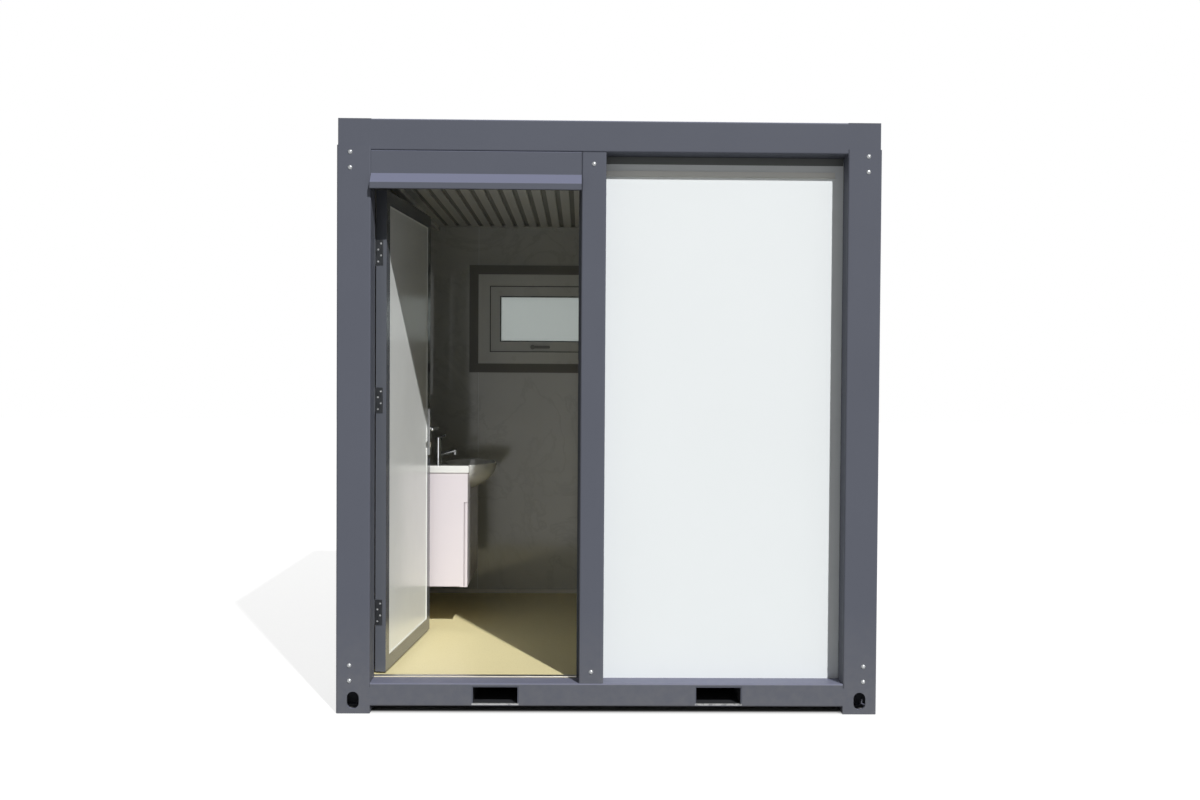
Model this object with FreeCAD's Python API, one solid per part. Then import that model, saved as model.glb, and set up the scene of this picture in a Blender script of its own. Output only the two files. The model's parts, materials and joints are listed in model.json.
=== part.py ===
"""Sanitary container: one wet room with basin, toilet and shower in a bolted steel frame.

Millimetres, +Z up, the front with the door looks towards -Y. The origin lies on the ground under
the middle of the base. Depths are measured from the front plane, heights from the ground.
"""
import FreeCAD
import Part
import math
import os
from FreeCAD import Placement, Rotation, Vector

# Whole container
WIDTH = 2250.0
DEPTH = 2200.0
HEIGHT = 2460.0

# How far a cut runs past the face it opens
CUT_PAST = 1.0

# Corner castings, corner posts and their bolts
POST_W = 140.0
POST_SHEET = 4.0
POST_LIP = 20.0
POST_BEND = 3.0
POST_LAP = 20.0
CASTING_H = 108.0
CASTING_WALL = 12.0
CASTING_HOLE_W = 50.0
CASTING_HOLE_H = 72.0
CASTING_HOLE_Z = 55.0
CASTING_SLOT_L = 100.0
CASTING_SLOT_W = 58.0
TONGUE_T = 8.0
TONGUE_H = 122.0
TONGUE_BEND = 3.0
TONGUE_GAP = 2.0
BOLT_HEAD_R = 10.0
BOLT_HEAD_H = 6.0
BOLT_SHANK_R = 6.0
BOLT_HOLE_GAP = 0.2
BOLT_EDGE = 55.0
BOLT_END = 28.0
BOLT_PITCH = 64.0

# Floor and roof beams
BEAM_SHEET = 4.0
BEAM_BEND = 3.0
BEAM_LIP = 20.0
FLOOR_BEAM_Z = 31.0
FLOOR_BEAM_H = 95.0
FLOOR_FOOT_W = 60.0
ROOF_BEAM_H = 130.0
GUTTER_W = 60.0
GUTTER_LIP = 30.0
FLANGE_MARGIN = 2.0
POCKET_W = 186.0
POCKET_H = 70.0
POCKET_WALL = 5.0
POCKET_X = 465.0
POCKET_Z = 75.5
POCKET_SET_BACK = 2.0
JOIST_W = 40.0
JOIST_SHEET = 3.0
FLOOR_JOISTS_X = (-880.0, -230.0, 0.0, 230.0, 880.0)
ROOF_JOISTS = 5
ROOF_JOIST_H = 78.0
ROOF_SHEET_T = 1.0
ROOF_RIB_H = 24.0
ROOF_RIB_TOP = 60.0
ROOF_RIB_FOOT = 100.0
ROOF_RIB_PITCH = 206.0
ROOF_SHEET_GAP = 4.0

# Walls, ceiling and floor covering
RECESS_FRONT = 100.0
RECESS_SIDE = 70.0
PANEL_T = 50.0
CHANNEL_T = 1.5
CHANNEL_LEG = 32.0
CHANNEL_BEND = 0.5
PANEL_FIRST = 289.0
PANEL_MODULE = 950.0
PANEL_JOINT_W = 2.0
PANEL_JOINT_D = 1.5
BOARD_T = 10.0
VINYL_T = 2.0
SKIRT_H = 22.0
SKIRT_T = 8.0
CEILING_DROP = 59.0
SLAT_W = 43.0
SLAT_PITCH = 66.7
SLAT_H = 10.0
SLAT_SHEET = 1.2
SLAT_END_GAP = 2.0
TRIM_W = 29.0
TRIM_H = 20.0
TRIM_T = 1.5

# Mullion, hood and door
MULLION_W = 102.0
MULLION_LIP = 15.0
MULLION_BOLT_END = 48.0
HOOD_SHEET = 2.0
HOOD_FACE_H = 94.0
HOOD_OUT = 36.0
HOOD_DROP = 42.0
HOOD_LIP = 26.0
HOOD_RETURN = 12.0
LEAF_W = 870.0
LEAF_T = 45.0
LEAF_RAIL = 60.0
LEAF_PANEL_SET = 3.0
LEAF_FLOOR_GAP = 8.0
LEAF_OPEN_ANGLE = 84.9
DOOR_GAP = 3.0
JAMB_T = 8.0
JAMB_WALL = 3.0
JAMB_STOP = 7.0
JAMB_COVER = 3.0
HINGE_STOP = 12.0
STOP_GAP = 0.5
HEAD_H = 56.0
HEADER_H = 80.0
HINGE_H = 109.0
HINGE_PLATE_W = 30.0
HINGE_PLATE_T = 1.4
HINGE_KNUCKLES = 5
HINGE_R = 6.0
HINGE_PIN_R = 3.0
HINGE_FIT = 0.05
HINGE_SPLIT = 0.3
HINGE_CLEAR = 0.3
HINGE_FOOT = 254.0
HINGE_MIDDLE = 1161.0
HINGE_TOP = 266.0
HINGE_HOLE_R = 4.0
HINGE_HOLE_SET = 9.0
HINGE_HOLE_STAGGER = 12.0
HINGE_HOLE_PITCH = 25.4
HINGE_SCREWS = 4
PIN_HEAD_R = 4.5
PIN_HEAD_H = 3.0

# Lock and levers
LOCK_BACKSET = 30.0
LOCK_PLATE_W = 34.0
LOCK_PLATE_H = 228.0
LOCK_PLATE_T = 9.0
LOCK_PLATE_Z = 1010.0
LOCK_CASE_W = 42.0
LOCK_CASE_T = 18.0
LOCK_CASE_H = 120.0
LEVER_DROP = 97.0
LEVER_NECK_R = 8.0
LEVER_REACH = 34.0
LEVER_L = 115.0
LEVER_R = 8.0
LEVER_FIT = 0.1
LEVER_SEAT = 0.3
BOLT_DROP = 45.0
LOCK_BOLT_T = 11.0
LOCK_BOLT_H = 17.0
LOCK_BOLT_L = 24.0
LOCK_BOLT_FIT = 0.15
LOCK_BOLT_SET = 0.5
STRIKE_MARGIN = 1.5

# Window
WINDOW_OFF = 649.0
WINDOW_DROP = 595.0
WINDOW_W = 722.0
WINDOW_H = 520.0
WINDOW_D = 60.0
WINDOW_PROUD = 5.0
WINDOW_MEMBER = 62.0
SASH_MEMBER = 62.0
SASH_D = 45.0
SASH_GAP = 0.8
SASH_FOOT_GAP = 3.5
SASH_SET_BACK = 12.0
SASH_STOP = 5.0
SASH_STOP_GAP = 1.5
SASH_PIVOT_IN = 8.0
SASH_PIN_R = 4.0
SASH_PIN_L = 14.0
PANE_T = 20.0
WINDOW_CUT_GAP = 0.5
SURROUND_W = 53.0
SURROUND_T = 4.0
CAM_L = 115.0
CAM_W = 16.0
CAM_T = 9.0
CAM_ROUND = 7.0
CAM_BOSS_R = 13.0
CAM_BOSS_H = 14.0
CAM_PIN_R = 4.0
CAM_PIN_L = 16.0
CAM_FIT = 0.05
CAM_SEAT = 0.3

# Pivots of the cabinet doors and the mirror
PIVOT_R = 3.0
PIVOT_L = 10.0
PIVOT_FIT = 0.05
PIVOT_SEAT = 0.3
PIVOT_PLATE_T = 2.5
PIVOT_PLATE_L = 30.0

# Basin unit
VANITY_CLEAR = 72.2
VANITY_W = 590.0
VANITY_D = 300.0
VANITY_H = 578.0
VANITY_LIFT = 206.0
VANITY_BOARD = 16.0
VANITY_DOOR_T = 18.0
VANITY_DOOR_GAP = 0.5
VANITY_APRON_H = 151.0
VANITY_REVEAL = 3.0
GRIP_L = 140.0
GRIP_IN = 10.0
GRIP_H = 22.0
SLAB_T = 34.0
SLAB_OVER = 5.0
SLAB_EDGE = 6.0
BOWL_A = 130.0
BOWL_B = 210.0
BOWL_DEPTH = 138.0
BOWL_WALL = 12.0
BOWL_OUT = 127.0
BOWL_SHIFT = 80.0
BOWL_CLEAR = 1.0
BOWL_STEPS = 5
BOWL_END_ANGLE = 66.0
DRAIN_R = 20.0
DRAIN_FLANGE_R = 30.0
DRAIN_FLANGE_T = 3.0
TRAP_TAIL_R = 16.0
TRAP_TAIL_L = 130.0
TRAP_BOTTLE_R = 30.0
TRAP_BOTTLE_H = 95.0
MIXER_WALL = 133.0
MIXER_R = 20.0
MIXER_BASE_R = 25.0
MIXER_BASE_H = 6.0
MIXER_H = 112.0
SPOUT_R = 11.0
SPOUT_Z = 36.0
SPOUT_OUT = 90.0
SPOUT_RISE = 22.0
AERATOR_R = 9.5
AERATOR_L = 20.0
DOME_H = 16.0
DOME_SEAT = 0.3
DOME_STEM_R = 8.0
DOME_STEM_H = 10.0
STEM_FIT = 0.05
PADDLE_L = 46.0
PADDLE_W = 18.0
PADDLE_T = 8.0
PADDLE_ANGLE = 24.0
PADDLE_SEAT = 0.3
PADDLE_LIFT = 6.0

# Mirror cabinet
MIRROR_W = 500.0
MIRROR_H = 720.0
MIRROR_Z = 1303.0
MIRROR_BOX_D = 57.0
MIRROR_BOARD = 12.0
MIRROR_DOOR_T = 17.0
MIRROR_GAP = 0.5

# Toilet
TOILET_OFF = 585.0
TOILET_L = 640.0
TOILET_W = 360.0
TOILET_FOOT_W = 230.0
TOILET_RIM_H = 400.0
TOILET_FOOT_SET = 110.0
TOILET_WALL_GAP = 10.0
PAN_BOWL_A = 125.0
PAN_BOWL_B = 165.0
PAN_BOWL_DEPTH = 240.0
PAN_BOWL_NOSE = 45.0
CISTERN_W = 370.0
CISTERN_D = 170.0
CISTERN_H = 350.0
CISTERN_ROUND = 28.0
CISTERN_LID_T = 24.0
CISTERN_LID_OVER = 6.0
BUTTON_R = 20.0
BUTTON_H = 20.0
BUTTON_PROUD = 4.5
BUTTON_TRAVEL = 4.0
BUTTON_FIT = 0.3
SEAT_T = 18.0
SEAT_GAP = 0.3
SEAT_RING = 48.0
LID_T = 14.0
LID_EDGE = 5.0
LID_GAP = 0.4
SEAT_HINGE_R = 8.5
SEAT_PIN_R = 5.0
SEAT_PIN_FIT = 0.09
SEAT_BACK = 70.0
SEAT_POST_X = 78.0
SEAT_POST_W = 14.0
SEAT_POST_D = 12.0
SEAT_EAR_W = 22.0

# Shower
SHOWER_POS = 760.0
SHOWER_Z = 1128.0
SHOWER_OFF = 62.0
SHOWER_BAR_R = 21.0
SHOWER_BAR_L = 190.0
SHOWER_CENTRES = 150.0
UNION_R = 14.0
UNION_ROSE_R = 32.0
UNION_ROSE_T = 8.0
SHOWER_KNOB_R = 24.0
SHOWER_KNOB_L = 42.0
SHOWER_KNOB_SEAT = 0.3
SHOWER_STEM_R = 7.0
SHOWER_STEM_L = 20.0
SHOWER_WING_L = 34.0
RISER_R = 11.0
RISER_CEILING = 42.0
RISER_BEND = 70.0
RISER_ARM = 330.0
RISER_DROP = 60.0
BRACKET_R = 8.0
BRACKET_Z = 700.0
HEAD_R = 105.0
HEAD_T = 9.0
HEAD_BOSS_R = 20.0
HEAD_BOSS_H = 26.0
DRAIN_CLEAR = 35.0
GRATE_W = 120.0
GRATE_T = 2.0
GRATE_SLOT_W = 6.0
GRATE_SLOT_L = 48.0
GRATE_SLOT_PITCH = 11.0
GRATE_SLOTS = 5
GULLY_R = 42.0
GULLY_WALL = 3.0
GULLY_DROP = 60.0

# Lamp, switch and service pipes
LAMP_X = 300.0
LAMP_R = 140.0
LAMP_H = 48.0
LAMP_EDGE = 16.0
SWITCH_OFF = 127.0
SWITCH_Z = 1280.0
SWITCH_W = 86.0
SWITCH_T = 11.0
ROCKER_W = 36.0
ROCKER_H = 60.0
ROCKER_T = 8.0
ROCKER_FIT = 0.5
ROCKER_ANGLE = 4.0
ROCKER_PIN_R = 1.5
ROCKER_PIN_L = 4.0
ROCKER_PIN_FIT = 0.05
ROCKER_OFF = 4.0
WASTE_R = 55.0
WASTE_NECK_R = 52.0
WASTE_WALL = 3.2
WASTE_RISE = 180.0
WASTE_OUT = 70.0
PIPE_FIT = 0.3
INLET_R = 13.2
INLET_BORE_R = 9.5
INLET_OFF = 185.0
INLET_RISE = 300.0
INLET_IN = 30.0
INLET_OUT = 60.0
INLET_NUT_R = 22.0
INLET_NUT_T = 12.0

# Planes and heights that several pieces share
X_LEFT = -WIDTH / 2
X_RIGHT = WIDTH / 2
Y_FRONT = -DEPTH / 2
Y_REAR = DEPTH / 2
POST_TOP = HEIGHT - ROOF_BEAM_H + POST_LAP
ROOF_BOTTOM = HEIGHT - ROOF_BEAM_H
FLOOR_BEAM_TOP = FLOOR_BEAM_Z + FLOOR_BEAM_H
FLOOR_TOP = FLOOR_BEAM_TOP + VINYL_T
X_IN = X_RIGHT - RECESS_SIDE - PANEL_T
Y_WALL_FRONT = Y_FRONT + RECESS_FRONT
Y_IN_FRONT = Y_WALL_FRONT + PANEL_T
Y_WALL_REAR = Y_REAR - RECESS_FRONT
Y_IN_REAR = Y_WALL_REAR - PANEL_T
PANEL_TOP = ROOF_BOTTOM - CHANNEL_T - CHANNEL_BEND
CEILING_Z = ROOF_BOTTOM - CEILING_DROP

# Door set-out, with the leaf closed
HINGE_REVEAL = -X_IN + JAMB_T
LEAF_X0 = HINGE_REVEAL + DOOR_GAP
LEAF_X1 = LEAF_X0 + LEAF_W
LATCH_REVEAL = LEAF_X1 + DOOR_GAP
MULLION_X0 = LATCH_REVEAL + JAMB_COVER
MULLION_X1 = MULLION_X0 + MULLION_W
JAMB_X1 = MULLION_X0 + MULLION_W / 2
LEAF_BACK = Y_IN_FRONT
LEAF_FACE = LEAF_BACK - LEAF_T
LEAF_Z0 = FLOOR_TOP + LEAF_FLOOR_GAP
HEAD_Z1 = ROOF_BOTTOM - HEADER_H
HEAD_Z0 = HEAD_Z1 - HEAD_H
LEAF_Z1 = HEAD_Z0 - DOOR_GAP
HINGE_Z = (LEAF_Z0 + HINGE_FOOT, LEAF_Z0 + HINGE_MIDDLE, LEAF_Z1 - HINGE_TOP)
PIN_X = HINGE_REVEAL + DOOR_GAP / 2
PIN_Y = LEAF_BACK + HINGE_R + HINGE_CLEAR
LOCK_X = LEAF_X1 - LOCK_BACKSET
LEVER_Z = LOCK_PLATE_Z + LOCK_PLATE_H - LEVER_DROP
LOCK_BOLT_Z = LEVER_Z - BOLT_DROP

# Window set-out
WINDOW_X = -X_IN + WINDOW_OFF
WINDOW_Z = ROOF_BOTTOM - WINDOW_DROP
WINDOW_IN = Y_IN_REAR - WINDOW_PROUD
SASH_W = WINDOW_W - 2 * WINDOW_MEMBER - 2 * SASH_GAP
SASH_H = WINDOW_H - 2 * WINDOW_MEMBER - SASH_GAP - SASH_FOOT_GAP
SASH_IN = WINDOW_IN + SASH_SET_BACK
SASH_TOP = WINDOW_Z + WINDOW_H / 2 - WINDOW_MEMBER - SASH_GAP
SASH_Z = SASH_TOP - SASH_H / 2
SASH_OUT = SASH_IN + SASH_D
CAM_X = WINDOW_X - CAM_L / 2 + CAM_BOSS_R
CAM_Z = SASH_Z - SASH_H / 2 + SASH_MEMBER / 2

# Basin unit set-out
VANITY_Y0 = PIN_Y + LEAF_X1 - PIN_X + VANITY_CLEAR
VANITY_Y1 = VANITY_Y0 + VANITY_W
VANITY_YC = (VANITY_Y0 + VANITY_Y1) / 2
VANITY_Z0 = FLOOR_TOP + VANITY_LIFT
VANITY_Z1 = VANITY_Z0 + VANITY_H
VANITY_FRONT = -X_IN + VANITY_D
APRON_Z0 = VANITY_Z1 - VANITY_APRON_H
APRON_FACE = VANITY_FRONT + VANITY_DOOR_GAP + VANITY_DOOR_T
SLAB_TOP = VANITY_Z1 + SLAB_T
BOWL_X = APRON_FACE + BOWL_OUT - BOWL_A - BOWL_WALL
BOWL_FLOOR = SLAB_TOP - BOWL_DEPTH * math.sin(math.radians(BOWL_END_ANGLE))
DRAIN_BASIN_X = BOWL_X - BOWL_SHIFT * (1 - math.cos(math.radians(BOWL_END_ANGLE)))
MIXER_X = -X_IN + MIXER_WALL
MIXER_TOP = SLAB_TOP + MIXER_H
DOME_TOP = MIXER_TOP + DOME_SEAT + DOME_H
MIRROR_FRONT = -X_IN + MIRROR_BOX_D
MIRROR_Y0 = VANITY_YC - MIRROR_W / 2
MIRROR_Y1 = VANITY_YC + MIRROR_W / 2

# Toilet set-out
TOILET_X = X_IN - TOILET_OFF
TOILET_BACK = Y_IN_REAR - TOILET_WALL_GAP
TOILET_NOSE = TOILET_BACK - TOILET_L
TOILET_RIM = FLOOR_TOP + TOILET_RIM_H
CISTERN_TOP = TOILET_RIM + CISTERN_H
LID_TOP = CISTERN_TOP + CISTERN_LID_T
CISTERN_FACE = TOILET_BACK - CISTERN_D
SEAT_Z = TOILET_RIM + SEAT_GAP
SEAT_AXIS_Y = CISTERN_FACE - SEAT_BACK
SEAT_AXIS_Z = SEAT_Z + SEAT_HINGE_R + SEAT_GAP

# Shower set-out
SHOWER_Y = Y_FRONT + SHOWER_POS
SHOWER_X = X_IN - SHOWER_OFF
RISER_TOP = CEILING_Z - RISER_CEILING
ARM_END_X = SHOWER_X - RISER_ARM
DRAIN_X = POCKET_X + POCKET_W / 2 + POCKET_WALL + DRAIN_CLEAR + GULLY_R

# Switch and supply set-out
SWITCH_X = JAMB_X1 + SWITCH_OFF
ROCKER_Y = Y_IN_FRONT + ROCKER_OFF
INLET_X = X_IN - INLET_OFF


def box(x0, x1, y0, y1, z0, z1):
    """Box between two corners."""
    return Part.makeBox(x1 - x0, y1 - y0, z1 - z0, Vector(x0, y0, z0))


def rod(radius, start, end):
    """Cylinder between two points."""
    axis = end - start
    return Part.makeCylinder(radius, axis.Length, start, axis)


def tube(radius, bore, start, end):
    """Hollow cylinder between two points."""
    return rod(radius, start, end).cut(rod(bore, start, end))


def fuse(*shapes):
    """One solid from shapes that touch or overlap."""
    joined = shapes[0].multiFuse(list(shapes[1:])).removeSplitter()
    return joined.Solids[0] if len(joined.Solids) == 1 else joined


def group(shapes):
    """Separate solids that are kept together in one node."""
    return Part.makeCompound([solid for shape in shapes for solid in shape.Solids])


def mirrored_x(shape):
    return shape.mirror(Vector(0, 0, 0), Vector(1, 0, 0))


def mirrored_y(shape):
    return shape.mirror(Vector(0, 0, 0), Vector(0, 1, 0))


def at_four_corners(shape):
    """The front left piece and its three mirror images."""
    front = [shape, mirrored_x(shape)]
    return front + [mirrored_y(piece) for piece in front]


def turned(shape, centre, axis, angle):
    """Copy turned about an axis, in degrees."""
    copy = shape.copy()
    copy.rotate(centre, axis, angle)
    return copy


def line_edges(points, radii):
    """Edges of an open line in the XY plane with its inner corners rounded."""
    edges = []
    last = points[0]
    for before, here, after, radius in zip(points, points[1:], points[2:], radii):
        back = (before - here).normalize()
        on = (after - here).normalize()
        half = back.getAngle(on) / 2
        reach = radius / math.tan(half)
        first = here + back * reach
        second = here + on * reach
        middle = here + (back + on).normalize() * (radius / math.sin(half) - radius)
        edges.append(Part.LineSegment(last, first).toShape())
        edges.append(Part.Arc(first, middle, second).toShape())
        last = second
    edges.append(Part.LineSegment(last, points[-1]).toShape())
    return edges


def folded(path, sheet, bend):
    """Section of a folded sheet: it lies to the left of the path, with inside bend radius."""
    outer = [Vector(x, y, 0) for x, y in path]
    runs = [(b - a).normalize() for a, b in zip(outer, outer[1:])]
    sides = [Vector(-run.y, run.x, 0) for run in runs]
    inner = [outer[0] + sides[0] * sheet]
    outer_radii = []
    inner_radii = []
    for index in range(1, len(runs)):
        before, after = sides[index - 1], sides[index]
        inner.append(outer[index] + (before + after) * (sheet / (1 + before.dot(after))))
        left_turn = runs[index - 1].cross(runs[index]).z > 0
        outer_radii.append(bend + sheet if left_turn else bend)
        inner_radii.append(bend if left_turn else bend + sheet)
    inner.append(outer[-1] + sides[-1] * sheet)
    there = line_edges(outer, outer_radii)
    back = line_edges(inner[::-1], inner_radii[::-1])
    caps = [
        Part.LineSegment(outer[-1], inner[-1]).toShape(),
        Part.LineSegment(inner[0], outer[0]).toShape(),
    ]
    return Part.Face(Part.Wire(Part.__sortEdges__(there + back + caps)))


def polygon(points):
    """Flat face in the XY plane."""
    corners = [Vector(x, y, 0) for x, y in points]
    return Part.Face(Part.makePolygon(corners + corners[:1]))


def along_x(face, x0, x1):
    """Extrude a section drawn in (Y, Z) from x0 to x1."""
    solid = face.extrude(Vector(0, 0, x1 - x0))
    solid.Placement = Placement(Vector(x0, 0, 0), Rotation(Vector(1, 1, 1), 120))
    return solid


def along_y(face, y0, y1):
    """Extrude a section drawn in (X, Z) from y0 to y1."""
    solid = face.extrude(Vector(0, 0, y1 - y0))
    solid.Placement = Placement(Vector(0, y1, 0), Rotation(Vector(1, 0, 0), 90))
    return solid


def along_z(face, z0, z1):
    """Extrude a section drawn in (X, Y) from z0 to z1."""
    solid = face.extrude(Vector(0, 0, z1 - z0))
    solid.translate(Vector(0, 0, z0))
    return solid


def stadium(x, y, width, height):
    """Upright oval with round ends, in the XY plane."""
    r = width / 2
    h = height / 2 - r
    edges = [
        Part.LineSegment(Vector(x + r, y - h, 0), Vector(x + r, y + h, 0)).toShape(),
        Part.Arc(Vector(x + r, y + h, 0), Vector(x, y + h + r, 0), Vector(x - r, y + h, 0)).toShape(),
        Part.LineSegment(Vector(x - r, y + h, 0), Vector(x - r, y - h, 0)).toShape(),
        Part.Arc(Vector(x - r, y - h, 0), Vector(x, y - h - r, 0), Vector(x + r, y - h, 0)).toShape(),
    ]
    return Part.Face(Part.Wire(edges))


def casting_slot(x, y, z0, z1):
    """Through block of an oval slot that runs from side to side."""
    upright = along_z(stadium(0, 0, CASTING_SLOT_W, CASTING_SLOT_L), z0, z1)
    slot = turned(upright, Vector(0, 0, 0), Vector(0, 0, 1), 90)
    slot.translate(Vector(x, y, 0))
    return slot


def rounded_block(x0, x1, y0, y1, z0, z1, radius):
    """Box with rounded upright edges."""
    block = box(x0, x1, y0, y1, z0, z1)
    upright = [edge for edge in block.Edges if abs(edge.tangentAt(edge.FirstParameter).z) > 0.99]
    return block.makeFillet(radius, upright)


def bowl(x, y, top, a, b, depth, shift):
    """Solid that fills an oval bowl; its floor is drawn back by shift."""
    rings = []
    for step in range(BOWL_STEPS + 1):
        angle = math.radians(BOWL_END_ANGLE * step / BOWL_STEPS)
        size = math.cos(angle)
        centre = Vector(x - shift * (1 - size), y, top - depth * math.sin(angle))
        end_b = centre + Vector(0, b * size, 0)
        end_a = centre + Vector(a * size, 0, 0)
        rings.append(Part.Wire(Part.Ellipse(end_b, end_a, centre).toShape()))
    return Part.makeLoft(rings, True)


def bent_rod(radius, points, bend):
    """Round rod along straight runs joined by arcs."""
    edges = []
    last = points[0]
    for before, here, after in zip(points, points[1:], points[2:]):
        back = (before - here).normalize()
        on = (after - here).normalize()
        half = back.getAngle(on) / 2
        reach = bend / math.tan(half)
        middle = here + (back + on).normalize() * (bend / math.sin(half) - bend)
        edges.append(Part.LineSegment(last, here + back * reach).toShape())
        edges.append(Part.Arc(here + back * reach, middle, here + on * reach).toShape())
        last = here + on * reach
    edges.append(Part.LineSegment(last, points[-1]).toShape())
    section = Part.Wire(Part.Circle(points[0], points[1] - points[0], radius).toShape())
    return Part.Wire(edges).makePipeShell([section], True, False)


def opened(shape):
    """A piece of the closed leaf, swung to where the open leaf stands."""
    return turned(shape, Vector(PIN_X, PIN_Y, 0), Vector(0, 0, 1), LEAF_OPEN_ANGLE)


def post_bolt_heights():
    low = CASTING_H + BOLT_END
    high = POST_TOP - BOLT_END
    return (low, low + BOLT_PITCH, high - BOLT_PITCH, high)


def post_bolt_axes():
    """Seat and outward direction of each bolt of the front left post."""
    axes = []
    for z in post_bolt_heights():
        axes.append((Vector(X_LEFT + BOLT_EDGE, Y_FRONT, z), Vector(0, -1, 0)))
        axes.append((Vector(X_LEFT, Y_FRONT + BOLT_EDGE, z), Vector(-1, 0, 0)))
    return axes


def drill_post_bolts(shape):
    depth = POST_SHEET + TONGUE_T + CUT_PAST
    radius = BOLT_SHANK_R + BOLT_HOLE_GAP
    holes = [rod(radius, seat + out * CUT_PAST, seat - out * depth) for seat, out in post_bolt_axes()]
    return shape.cut(holes)


def dome_bolt(seat, out, length):
    """Bolt with a domed head that seats on a face."""
    crown = Vector(0, 0, BOLT_HEAD_H)
    edge = Vector(BOLT_HEAD_R, 0, 0)
    ball = (BOLT_HEAD_R ** 2 + BOLT_HEAD_H ** 2) / (2 * BOLT_HEAD_H)
    half = math.asin(BOLT_HEAD_R / ball) / 2
    shoulder = crown + Vector(ball * math.sin(half), 0, ball * math.cos(half) - ball)
    section = Part.Face(Part.Wire([
        Part.LineSegment(Vector(0, 0, -length), Vector(BOLT_SHANK_R, 0, -length)).toShape(),
        Part.LineSegment(Vector(BOLT_SHANK_R, 0, -length), Vector(BOLT_SHANK_R, 0, 0)).toShape(),
        Part.LineSegment(Vector(BOLT_SHANK_R, 0, 0), edge).toShape(),
        Part.Arc(edge, shoulder, crown).toShape(),
        Part.LineSegment(crown, Vector(0, 0, -length)).toShape(),
    ]))
    bolt = section.revolve(Vector(0, 0, 0), Vector(0, 0, 1), 360)
    bolt.Placement = Placement(seat, Rotation(Vector(0, 0, 1), out))
    return bolt


def bolt_tongue(z0, z1):
    """Angle inside the post's outer faces that takes the bolts."""
    near = POST_SHEET
    far = POST_W - POST_SHEET - POST_BEND - TONGUE_GAP
    section = folded([(near, far), (near, near), (far, near)], TONGUE_T, TONGUE_BEND)
    tongue = along_z(section, z0, z1)
    tongue.translate(Vector(X_LEFT, Y_FRONT, 0))
    return tongue


def hollow_block(x0, x1, y0, y1, z0, z1, wall, radius):
    """Hollow box whose upright edge at (x0, y0) is rounded."""
    block = box(x0, x1, y0, y1, z0, z1)
    corner = [edge for edge in block.Edges if abs(edge.CenterOfMass.x - x0) + abs(edge.CenterOfMass.y - y0) < radius]
    core = box(x0 + wall, x1 - wall, y0 + wall, y1 - wall, z0 + wall, z1 - wall)
    return block.makeFillet(radius, corner).cut(core)


def corner_castings():
    x1 = X_LEFT + POST_W
    y1 = Y_FRONT + POST_W
    block = hollow_block(X_LEFT, x1, Y_FRONT, y1, 0, CASTING_H, CASTING_WALL, POST_BEND + POST_SHEET)
    x = X_LEFT + POST_W / 2
    y = Y_FRONT + POST_W / 2
    front = along_y(stadium(x, CASTING_HOLE_Z, CASTING_HOLE_W, CASTING_HOLE_H), Y_FRONT - CUT_PAST,
                    Y_FRONT + CASTING_WALL + CUT_PAST)
    side = along_x(stadium(y, CASTING_HOLE_Z, CASTING_HOLE_W, CASTING_HOLE_H), X_LEFT - CUT_PAST,
                   X_LEFT + CASTING_WALL + CUT_PAST)
    under = casting_slot(x, y, -CUT_PAST, CASTING_WALL + CUT_PAST)
    block = block.cut([front, side, under])
    casting = fuse(block, bolt_tongue(CASTING_H, CASTING_H + TONGUE_H))
    return group(at_four_corners(drill_post_bolts(casting)))


def roof_corner_blocks():
    x0 = X_LEFT + POST_SHEET
    y0 = Y_FRONT + POST_SHEET
    x1 = X_LEFT + POST_W
    y1 = Y_FRONT + POST_W
    block = hollow_block(x0, x1, y0, y1, ROOF_BOTTOM, HEIGHT, CASTING_WALL, POST_BEND)
    x = (x0 + x1) / 2
    y = (y0 + y1) / 2
    slot = casting_slot(x, y, HEIGHT - CASTING_WALL - CUT_PAST, HEIGHT + CUT_PAST)
    block = fuse(block.cut(slot), bolt_tongue(ROOF_BOTTOM - TONGUE_H, ROOF_BOTTOM))
    return group(at_four_corners(drill_post_bolts(block)))


def corner_posts():
    w = POST_W
    section = folded([
        (RECESS_SIDE, w - POST_LIP), (RECESS_SIDE, w), (0, w), (0, 0), (w, 0), (w, RECESS_FRONT),
        (w - POST_LIP, RECESS_FRONT),
    ], POST_SHEET, POST_BEND)
    post = along_z(section, CASTING_H, POST_TOP)
    post.translate(Vector(X_LEFT, Y_FRONT, 0))
    past = w + CUT_PAST
    behind = box(X_LEFT + POST_SHEET, X_LEFT + past, Y_FRONT + POST_SHEET, Y_FRONT + past,
                 ROOF_BOTTOM, POST_TOP + CUT_PAST)
    return group(at_four_corners(drill_post_bolts(post.cut(behind))))


def frame_bolts():
    """Post bolts at all corners and the two mullion bolts."""
    bolts = []
    for seat, out in post_bolt_axes():
        bolts += at_four_corners(dome_bolt(seat, out, POST_SHEET + TONGUE_T))
    for seat in mullion_bolt_seats():
        bolts.append(dome_bolt(seat, Vector(0, -1, 0), POST_SHEET))
    return group(bolts)


def floor_beams():
    """Front, rear and side beams of the base, with holes for the fork pockets."""
    z0 = FLOOR_BEAM_Z
    z1 = FLOOR_BEAM_TOP

    def section(outer, flange):
        return folded([
            (outer + flange, z1 - BOARD_T), (outer + flange, z1), (outer, z1), (outer, z0),
            (outer + FLOOR_FOOT_W, z0),
        ], BEAM_SHEET, BEAM_BEND)

    front_flange = RECESS_FRONT + PANEL_T + FLANGE_MARGIN
    side_flange = RECESS_SIDE + PANEL_T + FLANGE_MARGIN
    front = along_x(section(Y_FRONT, front_flange), X_LEFT + POST_W, X_RIGHT - POST_W)
    front = front.cut(pocket_blocks(POCKET_WALL, Y_REAR + CUT_PAST))
    side = along_y(section(X_LEFT, side_flange), Y_FRONT + POST_W, Y_REAR - POST_W)
    return group([front, mirrored_y(front), side, mirrored_x(side)])


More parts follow.
